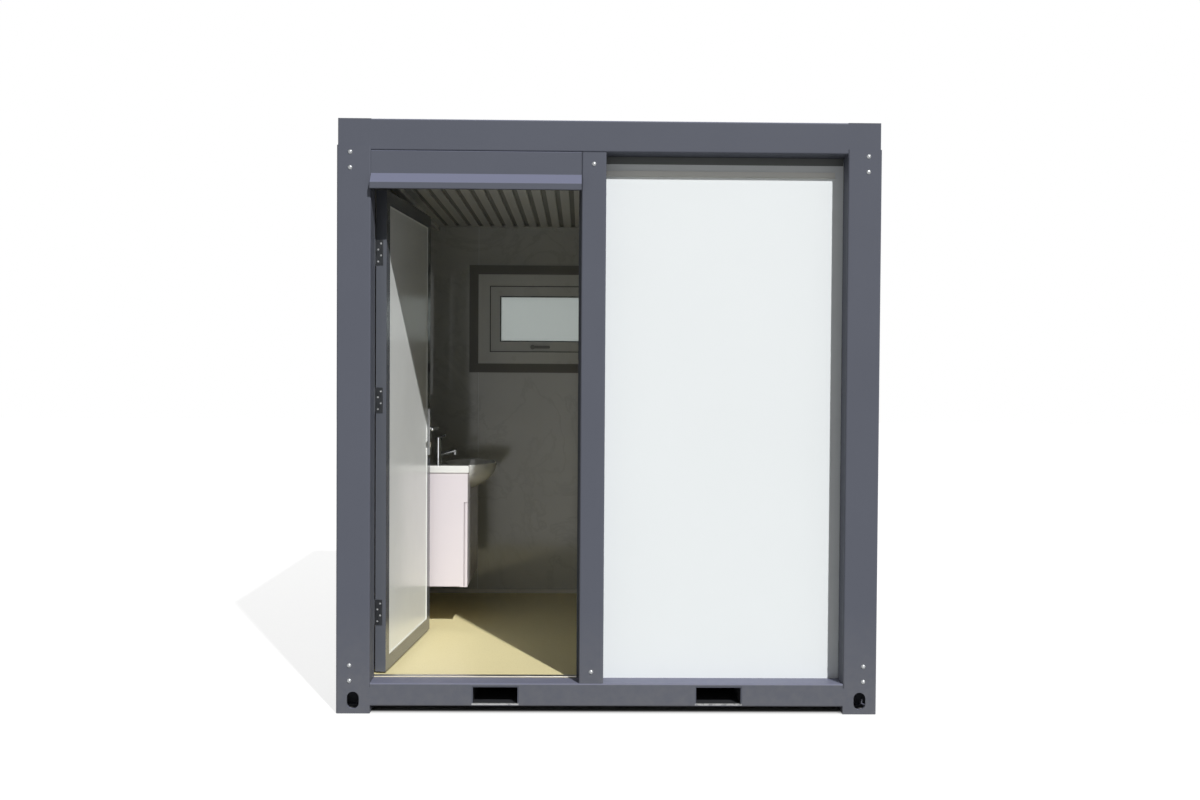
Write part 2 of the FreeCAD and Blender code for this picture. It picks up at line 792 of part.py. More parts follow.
def pocket_blocks(wall, y):
    """Through blocks of the fork pockets from -y to y, grown by a wall."""
    half_w = POCKET_W / 2 + wall
    half_h = POCKET_H / 2 + wall
    blocks = []
    for x in (-POCKET_X, POCKET_X):
        blocks.append(box(x - half_w, x + half_w, -y, y, POCKET_Z - half_h, POCKET_Z + half_h))
    return blocks


def fork_pockets():
    """Two tubes through the base, just behind the faces of the beams."""
    outer = pocket_blocks(POCKET_WALL, Y_REAR - POCKET_SET_BACK)
    inner = pocket_blocks(0, Y_REAR)
    return group([block.cut(hole) for block, hole in zip(outer, inner)])


def roof_beams():
    z0 = ROOF_BOTTOM
    z1 = HEIGHT

    def section(outer, flange):
        gutter = outer + GUTTER_W
        return folded([
            (gutter, z1 - GUTTER_LIP), (gutter, z1), (outer, z1), (outer, z0), (flange, z0),
            (flange, z0 + BEAM_LIP),
        ], BEAM_SHEET, BEAM_BEND)

    front_flange = Y_IN_FRONT + FLANGE_MARGIN
    side_flange = -X_IN + FLANGE_MARGIN
    front = along_x(section(Y_FRONT + POST_SHEET, front_flange), X_LEFT + POST_W, X_RIGHT - POST_W)
    side = along_y(section(X_LEFT + POST_SHEET, side_flange), Y_FRONT + POST_W, Y_REAR - POST_W)
    return group([front, mirrored_y(front), side, mirrored_x(side)])


def frame_joists():
    """C joists: floor joists from front to rear, roof joists from side to side."""

    def section(at, z0, z1):
        return folded([(at + JOIST_W, z1), (at, z1), (at, z0), (at + JOIST_W, z0)], JOIST_SHEET, JOIST_SHEET)

    joists = []
    floor_y = Y_REAR - BEAM_SHEET - BEAM_BEND
    floor_z = FLOOR_BEAM_Z + BEAM_SHEET
    for x in FLOOR_JOISTS_X:
        start = x - JOIST_W / 2
        joists.append(along_y(section(start, floor_z, FLOOR_BEAM_TOP - BOARD_T), -floor_y, floor_y))
    roof_x = X_RIGHT - POST_SHEET - BEAM_SHEET
    roof_z = ROOF_BOTTOM + max(BEAM_SHEET, BEAM_LIP)
    step = (Y_IN_REAR - Y_IN_FRONT) / (ROOF_JOISTS + 1)
    for index in range(ROOF_JOISTS):
        start = Y_IN_FRONT + step * (index + 1) - JOIST_W / 2
        joists.append(along_x(section(start, roof_z, roof_z + ROOF_JOIST_H), -roof_x, roof_x))
    return group(joists)


def roof_sheet():
    """Ribbed sheet between the gutters, with its ribs from front to rear."""
    edge = X_RIGHT - POST_SHEET - GUTTER_W - BEAM_SHEET - ROOF_SHEET_GAP
    low = ROOF_BOTTOM + max(BEAM_SHEET, BEAM_LIP) + ROOF_JOIST_H + ROOF_SHEET_T
    high = low + ROOF_RIB_H
    ribs = int((2 * edge - ROOF_RIB_FOOT) // ROOF_RIB_PITCH) + 1
    path = [(edge, low)]
    for index in range(ribs):
        x = (ribs - 1) * ROOF_RIB_PITCH / 2 - index * ROOF_RIB_PITCH
        path += [
            (x + ROOF_RIB_FOOT / 2, low), (x + ROOF_RIB_TOP / 2, high), (x - ROOF_RIB_TOP / 2, high),
            (x - ROOF_RIB_FOOT / 2, low),
        ]
    path.append((-edge, low))
    y = Y_REAR - POST_SHEET - GUTTER_W - BEAM_SHEET - ROOF_SHEET_GAP
    sheet = along_y(folded(path, ROOF_SHEET_T, ROOF_SHEET_T), -y, y)
    reach = POST_W + ROOF_SHEET_GAP
    block = box(X_LEFT, X_LEFT + reach, Y_FRONT, Y_FRONT + reach, ROOF_BOTTOM, HEIGHT)
    return sheet.cut(at_four_corners(block))


def floor_board():
    """Two wide boards, and two narrow ones before and behind the gully."""
    x = X_IN - FLANGE_MARGIN
    y = Y_IN_REAR - FLANGE_MARGIN
    low = FLOOR_BEAM_TOP - BOARD_T
    half = GULLY_R + PIPE_FIT
    return group([
        box(-x, DRAIN_X - half, -y, y, low, FLOOR_BEAM_TOP),
        box(DRAIN_X + half, x, -y, y, low, FLOOR_BEAM_TOP),
        box(DRAIN_X - half, DRAIN_X + half, -y, SHOWER_Y - half, low, FLOOR_BEAM_TOP),
        box(DRAIN_X - half, DRAIN_X + half, SHOWER_Y + half, y, low, FLOOR_BEAM_TOP),
    ])


def floor_vinyl():
    """Floor sheet of the room with its tongue through the doorway."""
    face = polygon([
        (-X_IN, Y_IN_FRONT), (HINGE_REVEAL, Y_IN_FRONT), (HINGE_REVEAL, LEAF_FACE),
        (LATCH_REVEAL, LEAF_FACE), (LATCH_REVEAL, Y_IN_FRONT), (X_IN, Y_IN_FRONT), (X_IN, Y_IN_REAR),
        (-X_IN, Y_IN_REAR),
    ])
    sheet = along_z(face, FLOOR_BEAM_TOP, FLOOR_TOP)
    half = GRATE_W / 2 + PIPE_FIT
    return sheet.cut(box(DRAIN_X - half, DRAIN_X + half, SHOWER_Y - half, SHOWER_Y + half, 0, HEIGHT))


def front_wall_panels():
    """Panel right of the mullion and the infill above the door frame."""
    right = box(JAMB_X1, X_IN, Y_WALL_FRONT, Y_IN_FRONT, FLOOR_BEAM_TOP, PANEL_TOP)
    above = box(-X_IN, JAMB_X1, Y_WALL_FRONT, Y_IN_FRONT, HEAD_Z1, PANEL_TOP)
    return group([right, above])


def panel_joints(start, end):
    """Places of the joints between the modules of a wall."""
    joints = []
    at = start + PANEL_FIRST
    while at < end - PANEL_JOINT_W:
        joints.append(at)
        at += PANEL_MODULE
    return joints


def side_wall_panels():
    y = Y_REAR - POST_W + POST_LIP
    left = box(X_LEFT + RECESS_SIDE, -X_IN, -y, y, FLOOR_BEAM_TOP, PANEL_TOP)
    half = PANEL_JOINT_W / 2
    grooves = []
    for face in (X_LEFT + RECESS_SIDE, -X_IN):
        for at in panel_joints(Y_IN_FRONT, Y_IN_REAR):
            grooves.append(box(face - PANEL_JOINT_D, face + PANEL_JOINT_D, at - half, at + half, 0, HEIGHT))
    left = left.cut(grooves)
    return group([left, mirrored_x(left)])


def rear_wall_panel():
    """Rear panel with the window opening and the holes for the service pipes."""
    panel = box(-X_IN, X_IN, Y_IN_REAR, Y_WALL_REAR, FLOOR_BEAM_TOP, PANEL_TOP)
    half_w = WINDOW_W / 2 + WINDOW_CUT_GAP
    half_h = WINDOW_H / 2 + WINDOW_CUT_GAP
    window = box(WINDOW_X - half_w, WINDOW_X + half_w, Y_IN_REAR - CUT_PAST, Y_WALL_REAR + CUT_PAST,
                 WINDOW_Z - half_h, WINDOW_Z + half_h)
    waste = waste_axis(Y_IN_REAR - CUT_PAST, Y_WALL_REAR + CUT_PAST)
    inlet = inlet_axis(Y_IN_REAR - CUT_PAST, Y_WALL_REAR + CUT_PAST)
    half = PANEL_JOINT_W / 2
    grooves = []
    for face in (Y_IN_REAR, Y_WALL_REAR):
        for at in panel_joints(-X_IN, X_IN):
            grooves.append(box(at - half, at + half, face - PANEL_JOINT_D, face + PANEL_JOINT_D, 0, HEIGHT))
    return panel.cut([window, rod(WASTE_NECK_R + PIPE_FIT, *waste), rod(INLET_R + PIPE_FIT, *inlet)] + grooves)


def wall_top_channels():
    """Inverted channels that hold the panels' top edges under the roof beams."""

    def section(a, b):
        return folded([
            (b + CHANNEL_T, ROOF_BOTTOM - CHANNEL_LEG), (b + CHANNEL_T, ROOF_BOTTOM),
            (a - CHANNEL_T, ROOF_BOTTOM), (a - CHANNEL_T, ROOF_BOTTOM - CHANNEL_LEG),
        ], CHANNEL_T, CHANNEL_BEND)

    end = X_RIGHT - POST_W
    front = along_x(section(Y_WALL_FRONT, Y_IN_FRONT), MULLION_X1, end)
    rear = along_x(section(Y_IN_REAR, Y_WALL_REAR), -end, end)
    left = along_y(section(X_LEFT + RECESS_SIDE, -X_IN), Y_IN_FRONT, Y_IN_REAR)
    return group([front, rear, left, mirrored_x(left)])


def skirting():
    """Skirting strips, front right, rear and both sides."""
    z0 = FLOOR_TOP
    z1 = FLOOR_TOP + SKIRT_H
    rear = box(-X_IN, X_IN, Y_IN_REAR - SKIRT_T, Y_IN_REAR, z0, z1)
    front = box(JAMB_X1, X_IN, Y_IN_FRONT, Y_IN_FRONT + SKIRT_T, z0, z1)
    side = box(X_IN - SKIRT_T, X_IN, Y_IN_FRONT + SKIRT_T, Y_IN_REAR - SKIRT_T, z0, z1)
    return group([rear, front, side, mirrored_x(side)])


def ceiling_trim():
    """Edge angles that carry the ceiling strips."""

    def section(wall):
        ledge = CEILING_Z - TRIM_T
        return folded([(wall, ledge + TRIM_H), (wall, ledge), (wall + TRIM_W, ledge)], TRIM_T, TRIM_T / 3)

    front = along_x(section(Y_IN_FRONT), -X_IN + TRIM_W, X_IN - TRIM_W)
    side = along_y(section(-X_IN), Y_IN_FRONT, Y_IN_REAR)
    return group([front, mirrored_y(front), side, mirrored_x(side)])


def ceiling_slats():
    """Shallow channel strips from front to rear, with open joints between them."""
    room = 2 * (X_IN - TRIM_W)
    count = int((room - SLAT_W) // SLAT_PITCH) + 1
    y = Y_IN_REAR - TRIM_T - SLAT_END_GAP
    slats = []
    for index in range(count):
        x0 = (index - (count - 1) / 2) * SLAT_PITCH - SLAT_W / 2
        section = folded([
            (x0, CEILING_Z + SLAT_H), (x0, CEILING_Z), (x0 + SLAT_W, CEILING_Z),
            (x0 + SLAT_W, CEILING_Z + SLAT_H),
        ], SLAT_SHEET, SLAT_SHEET / 3)
        slats.append(along_y(section, -y, y))
    return group(slats)


def mullion_bolt_seats():
    x = (MULLION_X0 + MULLION_X1) / 2
    y = Y_FRONT + POST_SHEET
    return [Vector(x, y, FLOOR_BEAM_TOP + MULLION_BOLT_END), Vector(x, y, ROOF_BOTTOM - MULLION_BOLT_END)]


def mullion():
    front = Y_FRONT + POST_SHEET
    section = folded([
        (MULLION_X0 + MULLION_LIP, Y_WALL_FRONT), (MULLION_X0, Y_WALL_FRONT), (MULLION_X0, front),
        (MULLION_X1, front), (MULLION_X1, Y_WALL_FRONT), (MULLION_X1 - MULLION_LIP, Y_WALL_FRONT),
    ], POST_SHEET, POST_BEND)
    bar = along_z(section, FLOOR_BEAM_TOP, ROOF_BOTTOM)
    radius = BOLT_SHANK_R + BOLT_HOLE_GAP
    past = Vector(0, CUT_PAST, 0)
    deep = Vector(0, POST_SHEET, 0)
    return bar.cut([rod(radius, seat - past, seat + deep + past) for seat in mullion_bolt_seats()])


def rain_hood():
    """Folded sheet above the door: flat face, slope and drip lip."""
    y = Y_FRONT + POST_SHEET
    z = ROOF_BOTTOM - HOOD_FACE_H
    out = y - HOOD_OUT
    section = folded([
        (y + HOOD_OUT, ROOF_BOTTOM), (y, ROOF_BOTTOM), (y, z), (out, z - HOOD_DROP),
        (out, z - HOOD_DROP - HOOD_LIP), (out + HOOD_RETURN, z - HOOD_DROP - HOOD_LIP),
    ], HOOD_SHEET, HOOD_SHEET / 2)
    return along_x(section, X_LEFT + POST_W, MULLION_X0)


def door_frame():
    """Hinge jamb, latch jamb and head, each with the stop that the leaf closes against."""
    stop = LEAF_FACE - STOP_GAP
    x_hinge_stop = HINGE_REVEAL + HINGE_STOP
    hinge_jamb = along_z(polygon([
        (-X_IN, Y_WALL_FRONT), (x_hinge_stop, Y_WALL_FRONT), (x_hinge_stop, stop), (HINGE_REVEAL, stop),
        (HINGE_REVEAL, Y_IN_FRONT), (-X_IN, Y_IN_FRONT),
    ]), FLOOR_BEAM_TOP, HEAD_Z0)
    latch_stop = LATCH_REVEAL - JAMB_STOP
    latch_jamb = along_z(polygon([
        (LATCH_REVEAL, Y_IN_FRONT), (LATCH_REVEAL, stop), (latch_stop, stop), (latch_stop, Y_WALL_FRONT),
        (JAMB_X1, Y_WALL_FRONT), (JAMB_X1, Y_IN_FRONT),
    ]), FLOOR_BEAM_TOP, HEAD_Z0)
    core = box(LATCH_REVEAL + JAMB_WALL, JAMB_X1 - JAMB_WALL, stop + JAMB_WALL, Y_IN_FRONT - JAMB_WALL,
               FLOOR_BEAM_TOP - CUT_PAST, HEAD_Z0 + CUT_PAST)
    strike = lock_bolt_block(LATCH_REVEAL - CUT_PAST, LATCH_REVEAL + JAMB_WALL + CUT_PAST, STRIKE_MARGIN)
    latch_jamb = latch_jamb.cut([core, strike])
    head = box(-X_IN, JAMB_X1, Y_WALL_FRONT, Y_IN_FRONT, HEAD_Z0, HEAD_Z1)
    head_stop = box(x_hinge_stop, latch_stop, Y_WALL_FRONT, stop, HEAD_Z0 - JAMB_STOP, HEAD_Z0)
    return group([hinge_jamb, latch_jamb, fuse(head, head_stop)])


def lock_bolt_block(x0, x1, margin):
    """Block along the lock bolt's path, grown by a margin."""
    y = (LEAF_FACE + LEAF_BACK) / 2
    half_t = LOCK_BOLT_T / 2 + margin
    half_h = LOCK_BOLT_H / 2 + margin
    return box(x0, x1, y - half_t, y + half_t, LOCK_BOLT_Z - half_h, LOCK_BOLT_Z + half_h)


def leaf_recess(depth_margin):
    """Space inside the leaf's stiles and rails."""
    return box(LEAF_X0 + LEAF_RAIL, LEAF_X1 - LEAF_RAIL, LEAF_FACE + depth_margin, LEAF_BACK - depth_margin,
               LEAF_Z0 + LEAF_RAIL, LEAF_Z1 - LEAF_RAIL)


def lock_pocket():
    """Pocket of the lock case, open at the leaf's free edge."""
    y = (LEAF_FACE + LEAF_BACK) / 2
    z = (LEVER_Z + LOCK_BOLT_Z) / 2
    return box(LEAF_X1 - LOCK_CASE_W, LEAF_X1, y - LOCK_CASE_T / 2, y + LOCK_CASE_T / 2,
               z - LOCK_CASE_H / 2, z + LOCK_CASE_H / 2)


def spindle_axis():
    """Ends of the spindle hole, at the outer and the inner lock plate."""
    outer = Vector(LOCK_X, LEAF_FACE - LOCK_PLATE_T, LEVER_Z)
    return outer, outer + Vector(0, LEAF_T + 2 * LOCK_PLATE_T, 0)


def door_leaf_frame():
    frame = box(LEAF_X0, LEAF_X1, LEAF_FACE, LEAF_BACK, LEAF_Z0, LEAF_Z1).cut(leaf_recess(-CUT_PAST))
    spindle = rod(LEVER_NECK_R + LEVER_FIT, *spindle_axis())
    return opened(frame.cut([lock_pocket(), spindle]))


def door_leaf_panel():
    return opened(leaf_recess(LEAF_PANEL_SET))


def hinge_plate(z, x0, x1, first):
    """Plate of a butt hinge with every second knuckle, starting with knuckle number first."""
    z0 = z - HINGE_H / 2
    part = HINGE_H / HINGE_KNUCKLES
    pieces = [box(x0, x1, LEAF_BACK - HINGE_PLATE_W, LEAF_BACK, z0, z0 + HINGE_H)]
    for index in range(first, HINGE_KNUCKLES, 2):
        low = z0 + part * index + (HINGE_SPLIT / 2 if index else 0)
        high = z0 + part * (index + 1) - (HINGE_SPLIT / 2 if index < HINGE_KNUCKLES - 1 else 0)
        pieces.append(box(x0, x1, LEAF_BACK, PIN_Y, low, high))
        pieces.append(rod(HINGE_R, Vector(PIN_X, PIN_Y, low), Vector(PIN_X, PIN_Y, high)))
    past = Vector(0, 0, CUT_PAST)
    foot = Vector(PIN_X, PIN_Y, z0)
    cuts = [rod(HINGE_PIN_R + HINGE_FIT, foot - past, foot + Vector(0, 0, HINGE_H) + past)]
    for index in range(HINGE_SCREWS):
        y = LEAF_BACK - HINGE_HOLE_SET - HINGE_HOLE_STAGGER * (index % 2)
        at = z + (index - (HINGE_SCREWS - 1) / 2) * HINGE_HOLE_PITCH
        cuts.append(rod(HINGE_HOLE_R, Vector(x0 - CUT_PAST, y, at), Vector(x1 + CUT_PAST, y, at)))
    return fuse(*pieces).cut(cuts)


def hinge_frame_plates():
    return group([hinge_plate(z, HINGE_REVEAL, HINGE_REVEAL + HINGE_PLATE_T, 0) for z in HINGE_Z])


def hinge_leaf_plates():
    return opened(group([hinge_plate(z, LEAF_X0 - HINGE_PLATE_T, LEAF_X0, 1) for z in HINGE_Z]))


def hinge_pins():
    pins = []
    for z in HINGE_Z:
        low = Vector(PIN_X, PIN_Y, z - HINGE_H / 2)
        high = Vector(PIN_X, PIN_Y, z + HINGE_H / 2)
        head = rod(PIN_HEAD_R, high, high + Vector(0, 0, PIN_HEAD_H))
        pins.append(fuse(rod(HINGE_PIN_R, low, high), head))
    return group(pins)


def door_lock():
    """Lock case in the free stile and a plate on each face of the leaf."""
    slot = lock_bolt_block(LEAF_X1 - LOCK_CASE_W - CUT_PAST, LEAF_X1 + CUT_PAST, LOCK_BOLT_FIT)
    x0 = LOCK_X - LOCK_PLATE_W / 2
    x1 = LOCK_X + LOCK_PLATE_W / 2
    z1 = LOCK_PLATE_Z + LOCK_PLATE_H
    outer = box(x0, x1, LEAF_FACE - LOCK_PLATE_T, LEAF_FACE, LOCK_PLATE_Z, z1)
    inner = box(x0, x1, LEAF_BACK, LEAF_BACK + LOCK_PLATE_T, LOCK_PLATE_Z, z1)
    spindle = rod(LEVER_NECK_R + LEVER_FIT, *spindle_axis())
    pieces = [lock_pocket().cut([slot, spindle]), outer.cut(spindle), inner.cut(spindle)]
    return opened(group(pieces))


def door_levers():
    """Outer and inner lever on one spindle; the levers point to the hinge side."""
    outer, inner = spindle_axis()
    neck = Vector(0, LEVER_REACH, 0)
    spindle = rod(LEVER_NECK_R, outer - neck, inner + neck)
    grips = [bent_grip(outer - neck), bent_grip(inner + neck)]
    return opened(fuse(spindle, *grips))


def bent_grip(end):
    """Round lever grip from the end of its neck, with a ball at each end."""
    tip = end - Vector(LEVER_L, 0, 0)
    return fuse(rod(LEVER_R, end, tip), Part.makeSphere(LEVER_R, end), Part.makeSphere(LEVER_R, tip))


def lock_bolt():
    """Bolt of the lock, drawn in at rest."""
    nose = LEAF_X1 - LOCK_BOLT_SET
    return opened(lock_bolt_block(nose - LOCK_BOLT_L, nose, 0))


def window_ring(width, height, z, member, y0, y1):
    """Rectangular ring about the window's middle line, centred at height z."""
    w = width / 2
    h = height / 2
    outer = box(WINDOW_X - w, WINDOW_X + w, y0, y1, z - h, z + h)
    inner = box(WINDOW_X - w + member, WINDOW_X + w - member, y0 - CUT_PAST, y1 + CUT_PAST,
                z - h + member, z + h - member)
    return outer.cut(inner)


def window_surround():
    return window_ring(WINDOW_W + 2 * SURROUND_W, WINDOW_H + 2 * SURROUND_W, WINDOW_Z,
                       SURROUND_W - WINDOW_CUT_GAP, Y_IN_REAR - SURROUND_T, Y_IN_REAR)


def sash_pins(radius, length):
    """Round pieces on the sash's tilt axis, one beyond each side of the sash."""
    y = SASH_OUT - SASH_PIVOT_IN
    z = SASH_TOP - SASH_PIVOT_IN
    pins = []
    for side in (-1, 1):
        start = Vector(WINDOW_X + side * SASH_W / 2, y, z)
        pins.append(rod(radius, start, start + Vector(side * length, 0, 0)))
    return pins


def window_frame():
    """Outer frame with a stop before the sash, and a bore on each side for the sash's pins."""
    ring = window_ring(WINDOW_W, WINDOW_H, WINDOW_Z, WINDOW_MEMBER, WINDOW_IN, WINDOW_IN + WINDOW_D)
    stop = window_ring(WINDOW_W - 2 * WINDOW_MEMBER, WINDOW_H - 2 * WINDOW_MEMBER, WINDOW_Z, SASH_STOP,
                       WINDOW_IN, SASH_IN - SASH_STOP_GAP)
    bores = sash_pins(SASH_PIN_R + CAM_FIT, SASH_GAP + SASH_PIN_L + CUT_PAST)
    return fuse(ring, stop).cut(bores)


def cam_axis():
    return Vector(CAM_X, SASH_IN, CAM_Z)


def window_sash():
    """Sash ring that is rounded about its pins at the top, with a bore for the handle."""
    sash = window_ring(SASH_W, SASH_H, SASH_Z, SASH_MEMBER, SASH_IN, SASH_OUT)
    reach = SASH_PIVOT_IN / 2
    top = [edge for edge in sash.Edges
           if edge.CenterOfMass.y > SASH_OUT - reach and edge.CenterOfMass.z > SASH_TOP - reach]
    sash = fuse(sash.makeFillet(SASH_PIVOT_IN, top), *sash_pins(SASH_PIN_R, SASH_GAP + SASH_PIN_L))
    past = Vector(0, CUT_PAST, 0)
    deep = Vector(0, CAM_PIN_L, 0)
    return sash.cut(rod(CAM_PIN_R + CAM_FIT, cam_axis() - past, cam_axis() + deep + past))


def window_pane():
    w = SASH_W / 2 - SASH_MEMBER
    h = SASH_H / 2 - SASH_MEMBER
    y = SASH_IN + SASH_D / 2
    return box(WINDOW_X - w, WINDOW_X + w, y - PANE_T / 2, y + PANE_T / 2, SASH_Z - h, SASH_Z + h)


def window_handle():
    """Cam handle: pin, boss and a lever that lies level when the window is shut."""
    seat = cam_axis() - Vector(0, CAM_SEAT, 0)
    boss_end = seat - Vector(0, CAM_BOSS_H, 0)
    pin = rod(CAM_PIN_R, seat, seat + Vector(0, CAM_PIN_L, 0))
    boss = rod(CAM_BOSS_R, boss_end, seat)
    start = CAM_X - CAM_BOSS_R
    lever = rounded_block(start, start + CAM_L, CAM_Z - CAM_W / 2, CAM_Z + CAM_W / 2, 0, CAM_T, CAM_ROUND)
    lever.Placement = Placement(Vector(0, boss_end.y + CAM_T / 2, 0), Rotation(Vector(1, 0, 0), 90))
    return fuse(pin, boss, lever)


def pivot_pin(x, y, z, up, radius, length):
    """Pin or bore on an upright pivot axis, from height z up or down."""
    return rod(radius, Vector(x, y, z), Vector(x, y, z + up * length))


def pivoted(door, x, y, z0, z1, back_x, edge_y):
    """Door with a rounded back edge on its pivot side, bored for a pin at each end."""
    reach = abs(x - back_x) / 2
    edge = [e for e in door.Edges
            if abs(e.CenterOfMass.x - back_x) < reach and abs(e.CenterOfMass.y - edge_y) < reach]
    bore = PIVOT_R + PIVOT_FIT
    deep = PIVOT_L + 2 * CUT_PAST
    return door.makeFillet(abs(x - back_x), edge).cut([
        pivot_pin(x, y, z0 - CUT_PAST, 1, bore, deep), pivot_pin(x, y, z1 + CUT_PAST, -1, bore, deep),
    ])


def vanity_pivots():
    """Place of the pivot axes of the near and the far cabinet door."""
    x = VANITY_FRONT + VANITY_DOOR_GAP + VANITY_DOOR_T / 2
    return (x, VANITY_Y0 + VANITY_DOOR_T / 2), (x, VANITY_Y1 - VANITY_DOOR_T / 2)


def vanity_pivot_pins():
    """Pins under the apron, and plates with pins under the carcass."""
    pieces = []
    half = VANITY_DOOR_T / 2
    for x, y in vanity_pivots():
        low = VANITY_Z0 - PIVOT_PLATE_T
        pieces.append(box(x - PIVOT_PLATE_L, x + half, y - half, y + half, low, VANITY_Z0))
        pieces.append(pivot_pin(x, y, low, 1, PIVOT_R, PIVOT_PLATE_T + PIVOT_SEAT + PIVOT_L))
        pieces.append(pivot_pin(x, y, APRON_Z0, -1, PIVOT_R, VANITY_REVEAL + PIVOT_L))
    return pieces


def basin_bowl(wall):
    return bowl(BOWL_X, VANITY_YC, SLAB_TOP, BOWL_A + wall, BOWL_B + wall, BOWL_DEPTH + wall, BOWL_SHIFT)


def vanity_cabinet():
    """Wall-hung carcass, open at the back and the top, with an apron cut round the bowl."""
    t = VANITY_BOARD
    carcass = box(-X_IN, VANITY_FRONT, VANITY_Y0, VANITY_Y1, VANITY_Z0, VANITY_Z1)
    inside = box(-X_IN - CUT_PAST, VANITY_FRONT + CUT_PAST, VANITY_Y0 + t, VANITY_Y1 - t,
                 VANITY_Z0 + t, VANITY_Z1 + CUT_PAST)
    apron = box(VANITY_FRONT - t, APRON_FACE, VANITY_Y0, VANITY_Y1, APRON_Z0, VANITY_Z1)
    rail = box(-X_IN, -X_IN + t, VANITY_Y0, VANITY_Y1, APRON_Z0, VANITY_Z1)
    pieces = [apron, rail] + vanity_pivot_pins()
    return fuse(carcass.cut(inside), *pieces).cut(basin_bowl(BOWL_WALL + BOWL_CLEAR))


def vanity_door(y0, y1, grip_y0, grip_y1, pivot, edge_y):
    """Door without a knob: a bevel behind its top edge gives the fingers room."""
    x0 = VANITY_FRONT + VANITY_DOOR_GAP
    z0 = VANITY_Z0 + PIVOT_SEAT
    z1 = APRON_Z0 - VANITY_REVEAL
    door = box(x0, x0 + VANITY_DOOR_T, y0, y1, z0, z1)
    grip = polygon([
        (x0 - CUT_PAST, z1 + CUT_PAST), (x0 - CUT_PAST, z1 - GRIP_H), (x0, z1 - GRIP_H),
        (x0 + GRIP_IN, z1), (x0 + GRIP_IN, z1 + CUT_PAST),
    ])
    return pivoted(door, *pivot, z0, z1, x0, edge_y).cut(along_y(grip, grip_y0, grip_y1))


def vanity_door_near():
    y1 = VANITY_YC - VANITY_REVEAL / 2
    return vanity_door(VANITY_Y0, y1, y1 - GRIP_L, y1 + CUT_PAST, vanity_pivots()[0], VANITY_Y0)


def vanity_door_far():
    y0 = VANITY_YC + VANITY_REVEAL / 2
    return vanity_door(y0, VANITY_Y1, y0 - CUT_PAST, y0 + GRIP_L, vanity_pivots()[1], VANITY_Y1)


def basin():
    """Slab and bowl in one piece, with a drain hole and a tap hole."""
    slab = box(-X_IN, APRON_FACE + SLAB_OVER, VANITY_Y0 - SLAB_OVER, VANITY_Y1 + SLAB_OVER,
               VANITY_Z1, SLAB_TOP)
    rim = [edge for edge in slab.Edges
           if edge.CenterOfMass.z > SLAB_TOP - SLAB_EDGE and edge.CenterOfMass.x > SLAB_EDGE - X_IN]
    slab = slab.makeFillet(SLAB_EDGE, rim)
    foot = Vector(DRAIN_BASIN_X, VANITY_YC, VANITY_Z0)
    drain = rod(DRAIN_R, foot, foot + Vector(0, 0, VANITY_H))
    return fuse(slab, basin_bowl(BOWL_WALL)).cut([basin_bowl(0), drain])


def trap_outlet():
    """Centre line of the trap's outlet, from the bottle to the wall."""
    z = BOWL_FLOOR - TRAP_TAIL_L - TRAP_BOTTLE_H / 3
    return Vector(DRAIN_BASIN_X, VANITY_YC, z), Vector(-X_IN, VANITY_YC, z)


def basin_trap():
    """Drain flange, tail pipe, bottle and outlet to the wall."""
    top = Vector(DRAIN_BASIN_X, VANITY_YC, BOWL_FLOOR)
    up = Vector(0, 0, 1)
    flange = rod(DRAIN_FLANGE_R, top, top + up * DRAIN_FLANGE_T)
    tail = rod(TRAP_TAIL_R, top - up * TRAP_TAIL_L, top)
    bottle = rod(TRAP_BOTTLE_R, top - up * (TRAP_TAIL_L + TRAP_BOTTLE_H), top - up * TRAP_TAIL_L)
    return fuse(flange, tail, bottle, rod(TRAP_TAIL_R, *trap_outlet()))


def basin_mixer():
    """Upright body with a rising spout over the bowl and an aerator under its end."""
    foot = Vector(MIXER_X, VANITY_YC, SLAB_TOP)
    up = Vector(0, 0, 1)
    base = rod(MIXER_BASE_R, foot, foot + up * MIXER_BASE_H)
    body = rod(MIXER_R, foot, foot + up * MIXER_H)
    start = foot + up * SPOUT_Z
    tip = start + Vector(SPOUT_OUT, 0, SPOUT_RISE)
    spout = [rod(SPOUT_R, start, tip), Part.makeSphere(SPOUT_R, tip), rod(AERATOR_R, tip, tip - up * AERATOR_L)]
    top = foot + up * MIXER_H
    stem_hole = rod(DOME_STEM_R + STEM_FIT, top - up * (DOME_STEM_H + CUT_PAST), top + up * CUT_PAST)
    return fuse(base, body, *spout).cut(stem_hole)


def paddle_axis():
    return Vector(MIXER_X, VANITY_YC, DOME_TOP - PADDLE_LIFT)


def basin_mixer_dome():
    """Turning cap on the mixer, slotted for the lever."""
    up = Vector(0, 0, 1)
    seat = Vector(MIXER_X, VANITY_YC, MIXER_TOP + DOME_SEAT)
    cap = rod(MIXER_R, seat, seat + up * DOME_H)
    stem = rod(DOME_STEM_R, seat - up * DOME_STEM_H, seat)
    half = PADDLE_W / 2 + PADDLE_SEAT
    reach = MIXER_R + CUT_PAST
    slot = box(MIXER_X - reach, MIXER_X + reach, VANITY_YC - half, VANITY_YC + half,
               paddle_axis().z - PADDLE_LIFT - PADDLE_SEAT, DOME_TOP + CUT_PAST)
    return fuse(cap, stem).cut(slot)


def basin_mixer_lever():
    """Lever in the slot of the cap, sloping up over the spout."""
    axis = paddle_axis()
    tail = rod(PADDLE_LIFT, axis - Vector(0, PADDLE_W / 2, 0), axis + Vector(0, PADDLE_W / 2, 0))
    blade = box(axis.x, axis.x + PADDLE_L, axis.y - PADDLE_W / 2, axis.y + PADDLE_W / 2,
                axis.z - PADDLE_T / 2, axis.z + PADDLE_T / 2)
    return turned(fuse(tail, blade), axis, Vector(0, 1, 0), -PADDLE_ANGLE)


